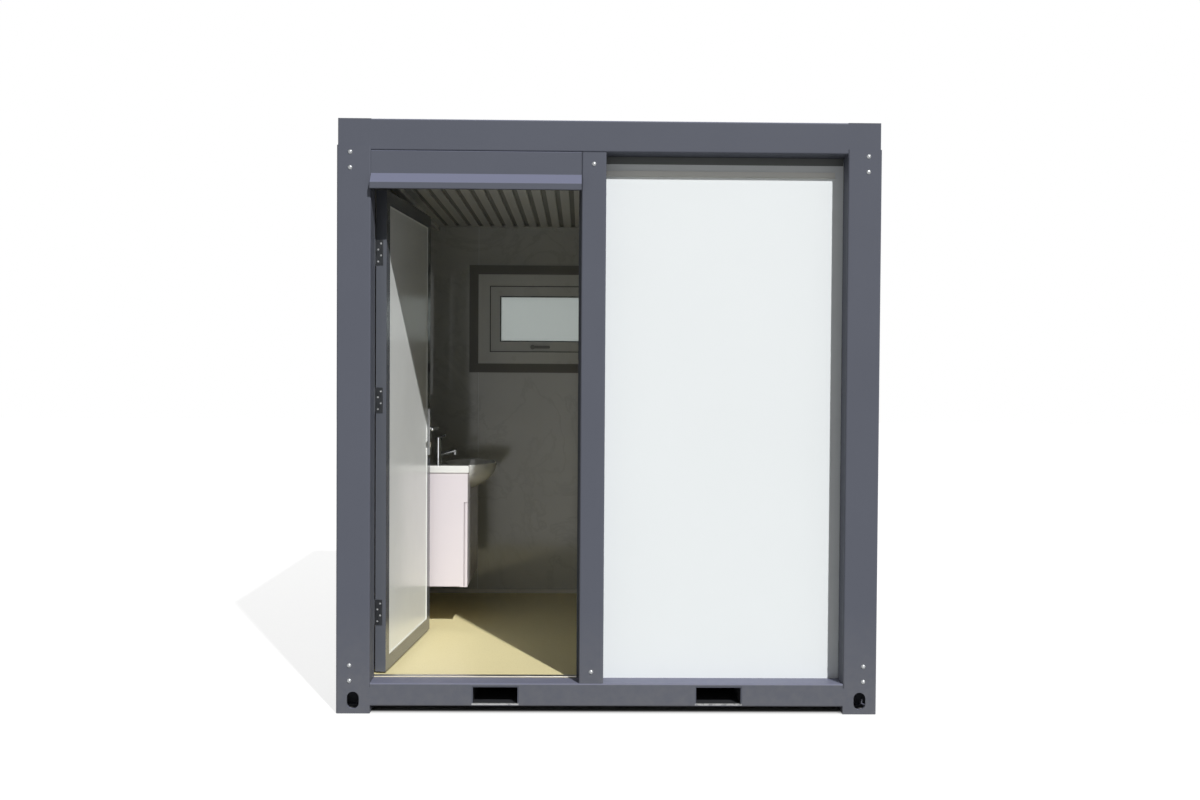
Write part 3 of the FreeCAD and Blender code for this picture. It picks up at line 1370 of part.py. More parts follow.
def mirror_cabinet():
    z1 = MIRROR_Z + MIRROR_H
    case = box(-X_IN, MIRROR_FRONT, MIRROR_Y0, MIRROR_Y1, MIRROR_Z, z1)
    t = MIRROR_BOARD
    case = case.cut(box(-X_IN + t, MIRROR_FRONT + CUT_PAST, MIRROR_Y0 + t, MIRROR_Y1 - t, MIRROR_Z + t, z1 - t))
    x, y = mirror_pivot()
    half = MIRROR_DOOR_T / 2
    pieces = []
    for z, up in ((MIRROR_Z, 1), (z1, -1)):
        outer = z - up * PIVOT_PLATE_T
        pieces.append(box(x - PIVOT_PLATE_L, x + half, y - half, y + half, min(z, outer), max(z, outer)))
        pieces.append(pivot_pin(x, y, outer, up, PIVOT_R, PIVOT_PLATE_T + PIVOT_SEAT + PIVOT_L))
    return fuse(case, *pieces)


def mirror_pivot():
    """Place of the mirror's pivot axis, at its far edge."""
    return MIRROR_FRONT + MIRROR_GAP + MIRROR_DOOR_T / 2, MIRROR_Y1 - MIRROR_DOOR_T / 2


def mirror_door():
    x0 = MIRROR_FRONT + MIRROR_GAP
    z0 = MIRROR_Z + PIVOT_SEAT
    z1 = MIRROR_Z + MIRROR_H - PIVOT_SEAT
    door = box(x0, x0 + MIRROR_DOOR_T, MIRROR_Y0, MIRROR_Y1, z0, z1)
    return pivoted(door, *mirror_pivot(), z0, z1, x0, MIRROR_Y1)


def pan_section(width, nose, back, z):
    """D-shaped outline of the pan at one height."""
    r = width / 2
    x = TOILET_X
    edges = [
        Part.LineSegment(Vector(x - r, back, z), Vector(x - r, nose + r, z)).toShape(),
        Part.Arc(Vector(x - r, nose + r, z), Vector(x, nose, z), Vector(x + r, nose + r, z)).toShape(),
        Part.LineSegment(Vector(x + r, nose + r, z), Vector(x + r, back, z)).toShape(),
        Part.LineSegment(Vector(x + r, back, z), Vector(x - r, back, z)).toShape(),
    ]
    return Part.Wire(edges)


def toilet():
    """Pan and cistern in one piece, with the open bowl."""
    waist_z = FLOOR_TOP + TOILET_RIM_H / 2
    foot_nose = TOILET_NOSE + TOILET_FOOT_SET
    shoulder_z = TOILET_RIM - TOILET_RIM_H / 8
    pan = Part.makeLoft([
        pan_section(TOILET_FOOT_W, foot_nose, TOILET_BACK, FLOOR_TOP),
        pan_section(TOILET_FOOT_W, foot_nose, TOILET_BACK, waist_z),
        pan_section(TOILET_W, TOILET_NOSE, TOILET_BACK, shoulder_z),
        pan_section(TOILET_W, TOILET_NOSE, TOILET_BACK, TOILET_RIM),
    ], True, True)
    half = CISTERN_W / 2
    cistern = rounded_block(TOILET_X - half, TOILET_X + half, CISTERN_FACE, TOILET_BACK, TOILET_RIM,
                            CISTERN_TOP, CISTERN_ROUND)
    hollow = bowl(TOILET_X, TOILET_NOSE + PAN_BOWL_NOSE + PAN_BOWL_B, TOILET_RIM, PAN_BOWL_A, PAN_BOWL_B,
                  PAN_BOWL_DEPTH, 0)
    return fuse(pan, cistern, *seat_posts()).cut(hollow)


def button_seat():
    return Vector(TOILET_X, TOILET_BACK - CISTERN_D / 2, LID_TOP)


def cistern_lid():
    half = CISTERN_W / 2 + CISTERN_LID_OVER
    lid = rounded_block(TOILET_X - half, TOILET_X + half, CISTERN_FACE - CISTERN_LID_OVER, TOILET_BACK,
                        CISTERN_TOP, LID_TOP, CISTERN_ROUND)
    seat = button_seat()
    past = Vector(0, 0, CUT_PAST)
    return lid.cut(rod(BUTTON_R + BUTTON_FIT, seat - Vector(0, 0, CISTERN_LID_T) - past, seat + past))


def flush_button():
    top = button_seat() + Vector(0, 0, BUTTON_PROUD)
    return rod(BUTTON_R, top - Vector(0, 0, BUTTON_H), top)


def seat_barrel(radius, x, width):
    """Round piece about the seat's axis, centred at x from the pan's middle."""
    start = Vector(TOILET_X + x - width / 2, SEAT_AXIS_Y, SEAT_AXIS_Z)
    return rod(radius, start, start + Vector(width, 0, 0))


def seat_posts():
    """Hinge posts on the pan, each with a pin that reaches out on both sides."""
    posts = []
    for x in (-SEAT_POST_X, SEAT_POST_X):
        x0 = TOILET_X + x - SEAT_POST_W / 2
        post = box(x0, x0 + SEAT_POST_W, SEAT_AXIS_Y - SEAT_POST_D / 2, SEAT_AXIS_Y + SEAT_POST_D / 2,
                   TOILET_RIM, SEAT_AXIS_Z + SEAT_PIN_R)
        posts.append(fuse(post, seat_barrel(SEAT_PIN_R, x, SEAT_POST_W + 2 * SEAT_EAR_W)))
    return posts


def seat_ears(outward, arm_depth, z0, z1):
    """Bores and ears beside the posts, on their outer or inner sides, with arms between two heights."""
    ears = []
    bores = []
    reach = (SEAT_POST_W + SEAT_EAR_W) / 2 + SEAT_GAP
    for side in (-1, 1):
        x = side * (SEAT_POST_X + outward * reach)
        x0 = TOILET_X + x - SEAT_EAR_W / 2
        arm = box(x0, x0 + SEAT_EAR_W, SEAT_AXIS_Y - arm_depth, SEAT_AXIS_Y, z0, z1)
        ears += [seat_barrel(SEAT_HINGE_R, x, SEAT_EAR_W), arm]
        bores.append(seat_barrel(SEAT_PIN_R + SEAT_PIN_FIT, x, SEAT_EAR_W))
    return ears, bores


def seat_outline(z0, z1, inset):
    """Plate of the pan's outline in front of the seat hinge."""
    wire = pan_section(TOILET_W - 2 * inset, TOILET_NOSE + inset, SEAT_AXIS_Y - inset, z0)
    return Part.Face(wire).extrude(Vector(0, 0, z1 - z0))


def toilet_seat():
    """Seat ring with an ear on the outer side of each hinge post."""
    z1 = SEAT_Z + SEAT_T
    back = SEAT_AXIS_Y - SEAT_HINGE_R - SEAT_GAP
    behind = box(TOILET_X - TOILET_W, TOILET_X + TOILET_W, back, Y_REAR, 0, HEIGHT)
    ring = seat_outline(SEAT_Z, z1, 0).cut([seat_outline(SEAT_Z - CUT_PAST, z1 + CUT_PAST, SEAT_RING), behind])
    ears, bores = seat_ears(1, SEAT_RING / 2, SEAT_Z + SEAT_GAP, SEAT_AXIS_Z)
    return fuse(ring, *ears).cut(bores)


def toilet_lid():
    """Lid over the seat with an ear on the inner side of each hinge post."""
    z0 = SEAT_Z + SEAT_T + LID_GAP
    plate = seat_outline(z0, z0 + LID_T, 0)
    rim = [edge for edge in plate.Edges if edge.BoundBox.ZMin > z0 + LID_T / 2]
    plate = plate.makeFillet(LID_EDGE, rim)
    ears, bores = seat_ears(-1, SEAT_HINGE_R, SEAT_AXIS_Z, z0)
    return fuse(plate, *ears).cut(bores)


def shower_mixer():
    """Bar body on two wall unions with a wall rose each."""
    half = SHOWER_BAR_L / 2
    middle = Vector(SHOWER_X, SHOWER_Y, SHOWER_Z)
    pieces = [rod(SHOWER_BAR_R, middle - Vector(0, half, 0), middle + Vector(0, half, 0))]
    for y in (SHOWER_Y - SHOWER_CENTRES / 2, SHOWER_Y + SHOWER_CENTRES / 2):
        wall = Vector(X_IN, y, SHOWER_Z)
        pieces.append(rod(UNION_R, wall, Vector(SHOWER_X, y, SHOWER_Z)))
        pieces.append(rod(UNION_ROSE_R, wall, wall - Vector(UNION_ROSE_T, 0, 0)))
    stem = SHOWER_STEM_R + STEM_FIT
    holes = []
    for side in (-1, 1):
        end = Vector(SHOWER_X, SHOWER_Y + side * half, SHOWER_Z)
        out = Vector(0, side, 0)
        holes.append(rod(stem, end + out * CUT_PAST, end - out * (SHOWER_STEM_L + CUT_PAST)))
    return fuse(*pieces).cut(holes)


def shower_knob(side):
    """Turning handle at one end of the bar, with its stem and a grip wing."""
    end = Vector(SHOWER_X, SHOWER_Y + side * (SHOWER_BAR_L / 2 + SHOWER_KNOB_SEAT), SHOWER_Z)
    out = Vector(0, side, 0)
    knob = rod(SHOWER_KNOB_R, end, end + out * SHOWER_KNOB_L)
    stem = rod(SHOWER_STEM_R, end - out * SHOWER_STEM_L, end)
    tip = end + out * (SHOWER_KNOB_L / 2)
    wing = rod(SHOWER_STEM_R, tip, tip - Vector(SHOWER_WING_L, 0, 0))
    return fuse(knob, stem, wing)


def shower_flow_knob():
    return shower_knob(-1)


def shower_temperature_knob():
    return shower_knob(1)


def shower_riser():
    """Rigid pipe from the bar up and out over the shower place, with a wall bracket."""
    foot = Vector(SHOWER_X, SHOWER_Y, SHOWER_Z + SHOWER_BAR_R)
    corner = Vector(SHOWER_X, SHOWER_Y, RISER_TOP)
    end = Vector(ARM_END_X, SHOWER_Y, RISER_TOP)
    drop = end - Vector(0, 0, RISER_DROP + RISER_BEND)
    pipe = bent_rod(RISER_R, [foot, corner, end, drop], RISER_BEND)
    wall = Vector(X_IN, SHOWER_Y, SHOWER_Z + BRACKET_Z)
    bracket = rod(BRACKET_R, wall, Vector(SHOWER_X, SHOWER_Y, SHOWER_Z + BRACKET_Z))
    rose = rod(2 * BRACKET_R, wall, wall - Vector(UNION_ROSE_T, 0, 0))
    return fuse(pipe, bracket, rose)


def shower_head():
    top = Vector(ARM_END_X, SHOWER_Y, RISER_TOP - RISER_DROP - RISER_BEND)
    up = Vector(0, 0, 1)
    boss = rod(HEAD_BOSS_R, top - up * HEAD_BOSS_H, top)
    plate = rod(HEAD_R, top - up * (HEAD_BOSS_H + HEAD_T), top - up * HEAD_BOSS_H)
    return fuse(boss, plate)


def floor_drain():
    """Slotted grate let into the floor sheet, over a gully pipe."""
    half = GRATE_W / 2
    low = FLOOR_BEAM_TOP
    grate = box(DRAIN_X - half, DRAIN_X + half, SHOWER_Y - half, SHOWER_Y + half, low, low + GRATE_T)
    slots = []
    for index in range(GRATE_SLOTS):
        x = DRAIN_X + (index - (GRATE_SLOTS - 1) / 2) * GRATE_SLOT_PITCH - GRATE_SLOT_W / 2
        slots.append(box(x, x + GRATE_SLOT_W, SHOWER_Y - GRATE_SLOT_L / 2, SHOWER_Y + GRATE_SLOT_L / 2,
                         low - CUT_PAST, low + GRATE_T + CUT_PAST))
    bottom = Vector(DRAIN_X, SHOWER_Y, low - GULLY_DROP)
    gully = tube(GULLY_R, GULLY_R - GULLY_WALL, bottom, Vector(DRAIN_X, SHOWER_Y, low))
    return group([grate.cut(slots), gully])


def ceiling_lamp():
    """Round surface lamp under the strips."""
    y = (Y_IN_FRONT + Y_IN_REAR) / 2
    lamp = rod(LAMP_R, Vector(LAMP_X, y, CEILING_Z - LAMP_H), Vector(LAMP_X, y, CEILING_Z))
    rim = [edge for edge in lamp.Edges if edge.Closed and edge.CenterOfMass.z < CEILING_Z - LAMP_H / 2]
    return lamp.makeFillet(LAMP_EDGE, rim[:1])


def switch_plate():
    half = SWITCH_W / 2
    y1 = Y_IN_FRONT + SWITCH_T
    plate = box(SWITCH_X - half, SWITCH_X + half, Y_IN_FRONT, y1, SWITCH_Z - half, SWITCH_Z + half)
    w = ROCKER_W / 2 + ROCKER_FIT
    h = ROCKER_H / 2 + ROCKER_FIT
    hole = box(SWITCH_X - w, SWITCH_X + w, Y_IN_FRONT - CUT_PAST, y1 + CUT_PAST, SWITCH_Z - h, SWITCH_Z + h)
    return plate.cut([hole, rocker_pin(ROCKER_PIN_R + ROCKER_PIN_FIT, ROCKER_FIT + ROCKER_PIN_L + CUT_PAST)])


def rocker_axis():
    return Vector(SWITCH_X, ROCKER_Y + ROCKER_T / 2, SWITCH_Z)


def rocker_pin(radius, reach):
    """Pin or bore on the rocker's axis that reaches beyond both of its sides."""
    end = Vector(ROCKER_W / 2 + reach, 0, 0)
    return rod(radius, rocker_axis() - end, rocker_axis() + end)


def switch_rocker():
    """Rocker on its pin, at rest with its lower half pressed."""
    w = ROCKER_W / 2
    h = ROCKER_H / 2
    rocker = box(SWITCH_X - w, SWITCH_X + w, ROCKER_Y, ROCKER_Y + ROCKER_T, SWITCH_Z - h, SWITCH_Z + h)
    rocker = fuse(rocker, rocker_pin(ROCKER_PIN_R, ROCKER_FIT + ROCKER_PIN_L))
    return turned(rocker, rocker_axis(), Vector(1, 0, 0), -ROCKER_ANGLE)


def waste_axis(y0, y1):
    z = FLOOR_TOP + WASTE_RISE
    return Vector(TOILET_X, y0, z), Vector(TOILET_X, y1, z)


def inlet_axis(y0, y1):
    z = FLOOR_TOP + INLET_RISE
    return Vector(INLET_X, y0, z), Vector(INLET_X, y1, z)


def waste_outlet():
    """Waste pipe from the back of the pan through the rear wall, with a wider spigot outside."""
    bore = WASTE_NECK_R - WASTE_WALL
    neck = tube(WASTE_NECK_R, bore, *waste_axis(TOILET_BACK, Y_WALL_REAR))
    return fuse(neck, tube(WASTE_R, bore, *waste_axis(Y_WALL_REAR, Y_WALL_REAR + WASTE_OUT)))


def water_inlet():
    """Water pipe stub through the rear wall with a hexagon nut outside."""
    start, end = inlet_axis(Y_IN_REAR - INLET_IN, Y_WALL_REAR + INLET_OUT)
    corners = []
    for index in range(6):
        angle = math.radians(60 * index)
        corners.append((start.x + INLET_NUT_R * math.cos(angle), start.z + INLET_NUT_R * math.sin(angle)))
    nut = along_y(polygon(corners), Y_WALL_REAR, Y_WALL_REAR + INLET_NUT_T)
    return fuse(rod(INLET_R, start, end), nut).cut(rod(INLET_BORE_R, start, end))


NODES = (
    corner_castings, floor_beams, fork_pockets, frame_joists, floor_board, floor_vinyl, corner_posts,
    frame_bolts, roof_beams, roof_corner_blocks, roof_sheet, ceiling_slats, ceiling_trim, mullion,
    front_wall_panels, side_wall_panels, rear_wall_panel, wall_top_channels, skirting, door_frame,
    rain_hood, door_leaf_frame, door_leaf_panel, hinge_frame_plates, hinge_leaf_plates, hinge_pins,
    door_levers, door_lock, lock_bolt, window_surround, window_frame, window_sash, window_pane,
    window_handle, vanity_cabinet, vanity_door_near, vanity_door_far, basin, basin_trap, basin_mixer,
    basin_mixer_dome, basin_mixer_lever, mirror_cabinet, mirror_door, toilet, cistern_lid, flush_button,
    toilet_seat, toilet_lid, shower_mixer, shower_flow_knob, shower_temperature_knob, shower_riser,
    shower_head, floor_drain, ceiling_lamp, switch_plate, switch_rocker, waste_outlet, water_inlet,
)


def main():
    os.makedirs("parts", exist_ok=True)
    for make in NODES:
        make().exportStep("parts/" + make.__name__ + ".step")


if __name__ == "__main__":
    main()
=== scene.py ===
"""Finishes, small fittings, floor, light and camera for a sanitary container with one wet room.

Lengths are in metres. The front with the door looks towards -Y, and +Z is up.
"""
import json
import math

import bmesh
import bpy
from bpy.props import FloatProperty, FloatVectorProperty, IntProperty, PointerProperty
from mathutils import Matrix, Vector


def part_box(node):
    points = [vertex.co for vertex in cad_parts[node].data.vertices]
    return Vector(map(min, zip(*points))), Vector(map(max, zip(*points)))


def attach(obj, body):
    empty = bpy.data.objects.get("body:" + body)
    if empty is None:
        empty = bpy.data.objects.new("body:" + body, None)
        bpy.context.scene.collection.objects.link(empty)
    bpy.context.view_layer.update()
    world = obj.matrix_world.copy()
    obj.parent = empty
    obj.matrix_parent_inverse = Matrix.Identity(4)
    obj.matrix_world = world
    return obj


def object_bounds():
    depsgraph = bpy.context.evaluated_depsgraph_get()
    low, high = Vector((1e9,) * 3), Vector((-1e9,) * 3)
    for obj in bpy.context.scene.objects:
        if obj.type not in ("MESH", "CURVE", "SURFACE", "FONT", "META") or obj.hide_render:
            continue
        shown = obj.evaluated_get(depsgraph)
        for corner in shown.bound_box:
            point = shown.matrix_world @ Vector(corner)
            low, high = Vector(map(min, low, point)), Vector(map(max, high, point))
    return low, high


bl_info = {
    "name": "Sanitary container",
    "version": (1, 0, 0),
    "blender": (4, 5, 0),
    "location": "View3D > Sidebar > Container",
    "description": "Dresses a sanitary container with its finishes and small fittings",
    "category": "Object",
}

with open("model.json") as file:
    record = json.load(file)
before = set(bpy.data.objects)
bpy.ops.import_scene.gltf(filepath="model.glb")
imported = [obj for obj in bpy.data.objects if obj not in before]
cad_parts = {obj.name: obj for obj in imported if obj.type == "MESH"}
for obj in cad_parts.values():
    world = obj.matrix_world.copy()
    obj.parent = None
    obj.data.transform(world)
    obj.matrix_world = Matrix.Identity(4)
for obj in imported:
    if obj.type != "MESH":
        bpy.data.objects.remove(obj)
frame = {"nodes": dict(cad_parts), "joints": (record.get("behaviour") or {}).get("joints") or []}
CAD_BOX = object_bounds()
SWING = next(joint for joint in frame["joints"] if joint["name"] == "door_swing")

# The leaf stands open by its joint's travel about the hinge pins. Places on it are given for the closed leaf.
PIN = Vector(SWING["pos_m"])
LEAF_OPEN = math.radians(-SWING["range_deg"][0])
LEAF_TURN = Matrix.Translation(PIN) @ Matrix.Rotation(LEAF_OPEN, 4, "Z") @ Matrix.Translation(-PIN)
LEAF_MIDDLE = (-0.559, 1.1635)
LEAF_PANEL_SIZE = (0.750, 1.935)
LEAF_PANEL_OUTSIDE = -0.992
LEAF_PANEL_INSIDE = -0.953

# Hinge screws: the plates' faces, the rows and steps of the holes, and how deep the heads lie in them.
LEAF_HINGE_FACE = -0.9954
FRAME_HINGE_FACE = -0.9956
HINGE_HEIGHTS = (0.390, 1.297, 1.925)
HINGE_SCREWS = 4
HINGE_SCREW_ROWS = (-0.959, -0.971)
HINGE_SCREW_PITCH = 0.0254
HINGE_SCREW_SINK = 0.00002

# Lock plates with their key cylinders and screws.
LOCK_X = -0.154
LOCK_OUTSIDE = -1.004
LOCK_INSIDE = -0.941
LOCK_SCREW_HEIGHTS = (1.024, 1.224)
LOCK_SCREW_RADIUS = 0.0042
LOCK_SCREW_HEIGHT = 0.0018
KEY_Z = 1.069
KEY_HEAD_HEIGHT = 0.003
KEY_FOOT_HEIGHT = 0.0026
KEY_SLOT_DEPTH = 0.002

# Fork pockets: the depth of the painted highlight on the front of the lower lips, and the tubes' wall.
LIP_LIGHT_DEPTH = 0.016
POCKET_WALL = 0.005

# Roof: the sheet's thickness, its valleys to each side of the middle, the joists and the screws' heights.
ROOF_SHEET_THICK = 0.001
ROOF_RIB_PITCH = 0.206
ROOF_VALLEYS = 4
ROOF_EDGE_VALLEY = 1.015
ROOM_DEPTH = 1.9
ROOF_JOISTS = 5
WASHER_HEIGHT = 0.0018
ROOF_SCREW_HEIGHT = 0.0065

# Panel faces nearer to the middle than this look into the room. It ends just behind the panels' inner faces.
ROOM_REACH = (("X", 1.0065), ("Y", 0.9515))

# Edges above this share of a piece's height are its top. Edges that turn by more than the angle are corners.
TOP_SHARE = 0.9
CORNER_ANGLE = 0.5

# Shower rose, where each ring has a step more nozzles than the last, and basin waste.
NOZZLE_HEIGHT = 0.0025
NOZZLE_SPREAD = 0.86
RING_STEP = 6
TRAP_RADIUS = 0.030
PLUG_HEIGHT = 0.0055

# The photograph's camera: where it stood, and how far it was turned, tipped and tilted.
CAMERA_PLACE = (-0.116, -6.0274, 1.4097)
CAMERA_TURN = math.radians(0.921)
CAMERA_TIP = math.radians(1.191)
CAMERA_ROLL = math.radians(0.37)
CAMERA_LENS = 35.714
SENSOR_WIDTH = 36

# The photograph's light comes from the right of the front, and from above.
LAMP_SIDE = math.radians(25.3)
LAMP_RISE = math.radians(47.5)
LAMP_DISTANCE = 9
LAMP_SPREAD = math.radians(1.2)
BACK_PLACE = (-4.5, 5.5, 6.5)
BACK_SIZE = 6
LAMP_AIM = (0, 0, 1)

# The floor lies a little under the feet, and its glow fades out between these depths under the container.
FLOOR_SIZE = 60
FLOOR_DROP = 0.001
GLOW_END = 0.06
GLOW_START = 0.01


def linear(code):
    """Linear RGB of an sRGB hex colour."""
    values = [int(code[i:i + 2], 16) / 255 for i in (1, 3, 5)]
    return [v / 12.92 if v <= 0.04045 else ((v + 0.055) / 1.055) ** 2.4 for v in values]


def colour_prop(name, description, code):
    """Colour setting with an sRGB hex default."""
    return FloatVectorProperty(name=name, description=description, subtype="COLOR", size=3, min=0, max=1,
                               default=linear(code))


def length_prop(name, description, default):
    """Length setting in metres."""
    return FloatProperty(name=name, description=description, default=default, min=0.0001, unit="LENGTH",
                         precision=4)


class ContainerLooks(bpy.types.PropertyGroup):
    """Colours of the container's finishes."""

    frame_paint: colour_prop("Frame paint", "Powder coat on posts, beams and mullion", "#575a64")
    # Painted reflection of the sky: the frame's colour where its faces look up.
    frame_sky_sheen: colour_prop("Frame sky sheen", "Painted reflection of the sky on the frame where it looks up", "#6a6d80")
    frame_dust: colour_prop("Frame dust", "Dust on the frame near the ground", "#9a968c")
    # Painted shade: the tubes' inside faces are darker than their ends.
    pocket_painted_shade: colour_prop("Pocket painted shade", "Painted shade inside the fork pockets", "#2f3033")
    # Painted highlight on the front of the pockets' lower lips.
    pocket_lip_highlight: colour_prop("Pocket lip highlight", "Painted highlight on the fork pockets' lower lips", "#b0b1b0")
    channel_paint: colour_prop("Channel paint", "Coat on the panels' top channels", "#666968")
    panel_white: colour_prop("Panel white", "Coat on the outside of the wall panels", "#e4e8e9")
    print_ground: colour_prop("Print ground", "Ground of the stone print inside", "#c6c7c2")
    print_vein: colour_prop("Print vein", "Veins of the stone print inside", "#a6a8a2")
    vinyl: colour_prop("Floor sheet", "Vinyl floor sheet", "#ebdfae")
    vinyl_fleck: colour_prop("Floor fleck", "Flecks in the floor sheet", "#d6c88e")
    # Painted shade: the gap strips are a darker grey than the ceiling strips.
    gap_shade_grey: colour_prop("Ceiling gaps", "Grey of the gap strips, darker than the ceiling strips: painted shade in the grooves", "#8b8b87")
    strip_white: colour_prop("Ceiling strips", "Coat on the ceiling strips", "#c9c9c5")
    door_paint: colour_prop("Door paint", "Coat on the door frame and the leaf's stiles", "#5c5f66")
    door_white: colour_prop("Door panel", "Coat on the leaf's panel", "#eceeec")
    window_white: colour_prop("Window frame", "Window frame and sash", "#d4d5d0")
    cabinet: colour_prop("Cabinet", "Laminate of the basin cabinet", "#ddd5d9")
    glaze: colour_prop("Glaze", "Glazed ceramic", "#e6e6e2")
    roof_paint: colour_prop("Roof coat", "Coat on the roof sheet", "#aeb2b4")


class ContainerSizes(bpy.types.PropertyGroup):
    """Sizes of the small fittings."""

    screw_radius: length_prop("Screw radius", "Radius of a hinge screw's head", 0.0039)
    screw_height: length_prop("Screw height", "Height of a hinge screw's head", 0.0013)
    bead_width: length_prop("Bead width", "Width of the bead round the leaf's panel", 0.007)
    bead_height: length_prop("Bead height", "Height of the bead round the leaf's panel", 0.0026)
    key_radius: length_prop("Key cylinder radius", "Radius of the key cylinder's round part", 0.0085)
    gasket_width: length_prop("Gasket width", "Width of the pane's gasket", 0.006)
    gasket_height: length_prop("Gasket height", "Height of the pane's gasket", 0.005)
    stop_reach: length_prop("Stop reach", "From the window frame's edge to the edge of its stop", 0.067)
    seal_width: length_prop("Seal width", "Width of the seal on the window's stop", 0.004)
    seal_height: length_prop("Seal height", "Depth of the seal on the window's stop", 0.009)
    seal_depth: length_prop("Seal set-back", "From the frame's face in the room to the seal's back", 0.010)
    nozzle_radius: length_prop("Nozzle radius", "Radius of a shower nozzle", 0.0024)
    nozzle_rings: IntProperty(name="Nozzle rings", description="Rings of nozzles on the shower rose",
                              default=5, min=1, max=8)
    plug_radius: length_prop("Plug radius", "Radius of the basin plug", 0.024)
    slat_width: length_prop("Ceiling strip width", "Width of a ceiling strip", 0.043)
    slat_pitch: length_prop("Ceiling strip pitch", "Step from one ceiling strip to the next", 0.0667)
    gap_strip_lap: length_prop("Gap strip lap", "How far a gap strip lies on each rim", 0.0012)
    gap_strip_height: length_prop("Gap strip height", "Thickness of a gap strip", 0.001)
    cove_thick: length_prop("Cove thickness", "Thickness of the strip under the ceiling's edge", 0.004)
    cove_height: length_prop("Cove height", "Height of the strip under the ceiling's edge", 0.025)
    threshold_length: length_prop("Threshold length", "Length of the strip in the doorway", 0.868)
    threshold_depth: length_prop("Threshold depth", "Depth of the strip in the doorway", 0.030)
    threshold_height: length_prop("Threshold height", "Thickness of the strip in the doorway", 0.0025)
    roof_screw_radius: length_prop("Roof screw radius", "Radius of a roof screw's hexagon", 0.0055)
    washer_radius: length_prop("Washer radius", "Radius of a roof screw's washer", 0.0095)


class StageLooks(bpy.types.PropertyGroup):
    """Floor, light and camera."""

    floor: colour_prop("Floor", "Studio floor as it throws light back", "#8a8a89")
    floor_glow: FloatProperty(name="Floor glow", default=0.74, min=0,
                              description="Light that the camera sees on top of the lit floor")
    sky_level: FloatProperty(name="Sky level", default=0.22, min=0,
                             description="Strength of the light from all round")
    key_level: FloatProperty(name="Key light", default=3.75, min=0,
                             description="Strength of the distant lamp at the front right")
    back_power: FloatProperty(name="Back light", default=260, min=0, unit="POWER",
                              description="Power of the broad lamp behind")
    lens: FloatProperty(name="Lens", default=CAMERA_LENS, min=1, subtype="DISTANCE_CAMERA",
                        description="Focal length")


def rgba(colour, gain=1.0):
    """Colour with alpha, made lighter or darker by a gain."""
    return (*(min(1.0, value * gain) for value in colour), 1.0)


def scale_of(size_mm):
    """Texture scale whose cells have a size in millimetres."""
    return 1000 / size_mm


def add(tree, kind, sockets=None, **settings):
    """Add a node, set its options, and set or link its sockets."""
    node = tree.nodes.new(kind)
    for key, value in settings.items():
        setattr(node, key, value)
    for key, value in (sockets or {}).items():
        if isinstance(value, bpy.types.NodeSocket):
            tree.links.new(value, node.inputs[key])
        else:
            node.inputs[key].default_value = value
    return node


def new_material(name):
    """Empty surface material: the material, its tree, its shader and its object coordinates."""
    material = bpy.data.materials.new(name)
    material.use_nodes = True
    tree = material.node_tree
    tree.nodes.clear()
    shader = add(tree, "ShaderNodeBsdfPrincipled")
    add(tree, "ShaderNodeOutputMaterial", {"Surface": shader.outputs["BSDF"]})
    place = add(tree, "ShaderNodeTexCoord").outputs["Object"]
    return material, tree, shader, place


def join_up(tree, shader, colour, gloss, relief, strength, depth):
    """Link a finish's colour, gloss and relief to its shader. Without a gloss, its own number stays."""
    tree.links.new(colour, shader.inputs["Base Color"])
    if gloss is not None:
        tree.links.new(gloss, shader.inputs["Roughness"])
    bump = add(tree, "ShaderNodeBump", {"Height": relief, "Strength": strength, "Distance": depth})
    tree.links.new(bump.outputs["Normal"], shader.inputs["Normal"])


def coated(name, colour, roughness=0.5, patch_mm=300, patch=0.04, peel_mm=5, peel=0.1, specular=0.3,
           sky_sheen=None, dust=None):
    """Polyester powder coat on sheet steel: satin, a little uneven, with a fine orange peel.

    The peel is drawn a little coarser than the real one, so that it shows. Sky sheen is the colour of a
    painted reflection of the sky where a face looks up, and dust is the colour of what settles near the
    ground.
    """
    material, tree, shader, place = new_material(name)
    shader.inputs["Specular IOR Level"].default_value = specular
    clouds = add(tree, "ShaderNodeTexNoise", {"Vector": place, "Scale": scale_of(patch_mm), "Detail": 4.0,
                                              "Roughness": 0.55}).outputs["Fac"]
    shade = add(tree, "ShaderNodeMix", {"Factor": clouds, "A": rgba(colour, 1 - patch),
                                        "B": rgba(colour, 1 + patch)}, data_type="RGBA").outputs["Result"]
    # Painted reflection of the sky: faces that look up are mixed towards the sheen colour.
    if sky_sheen is not None:
        way = add(tree, "ShaderNodeTexCoord").outputs["Normal"]
        rise = add(tree, "ShaderNodeSeparateXYZ", {"Vector": way}).outputs["Z"]
        share = add(tree, "ShaderNodeMapRange", {"Value": rise, "From Min": 0.3, "From Max": 0.6})
        shade = add(tree, "ShaderNodeMix", {"Factor": share.outputs["Result"], "A": shade, "B": rgba(sky_sheen)},
                    data_type="RGBA").outputs["Result"]
    if dust is not None:
        z = add(tree, "ShaderNodeSeparateXYZ", {"Vector": place}).outputs["Z"]
        low = add(tree, "ShaderNodeMapRange", {"Value": z, "From Max": 0.45, "To Min": 0.2, "To Max": 0.0})
        grit = add(tree, "ShaderNodeTexNoise", {"Vector": place, "Scale": scale_of(30), "Detail": 6.0})
        share = add(tree, "ShaderNodeMath", {0: low.outputs["Result"], 1: grit.outputs["Fac"]},
                    operation="MULTIPLY")
        shade = add(tree, "ShaderNodeMix", {"Factor": share.outputs[0], "A": shade, "B": rgba(dust)},
                    data_type="RGBA").outputs["Result"]
    gloss = add(tree, "ShaderNodeMapRange", {"Value": clouds, "From Min": 0.3, "From Max": 0.7,
                                             "To Min": roughness - 0.05, "To Max": roughness + 0.05})
    grain = add(tree, "ShaderNodeTexNoise", {"Vector": place, "Scale": scale_of(peel_mm)})
    join_up(tree, shader, shade, gloss.outputs["Result"], grain.outputs["Fac"], peel, 0.0004)
    return material


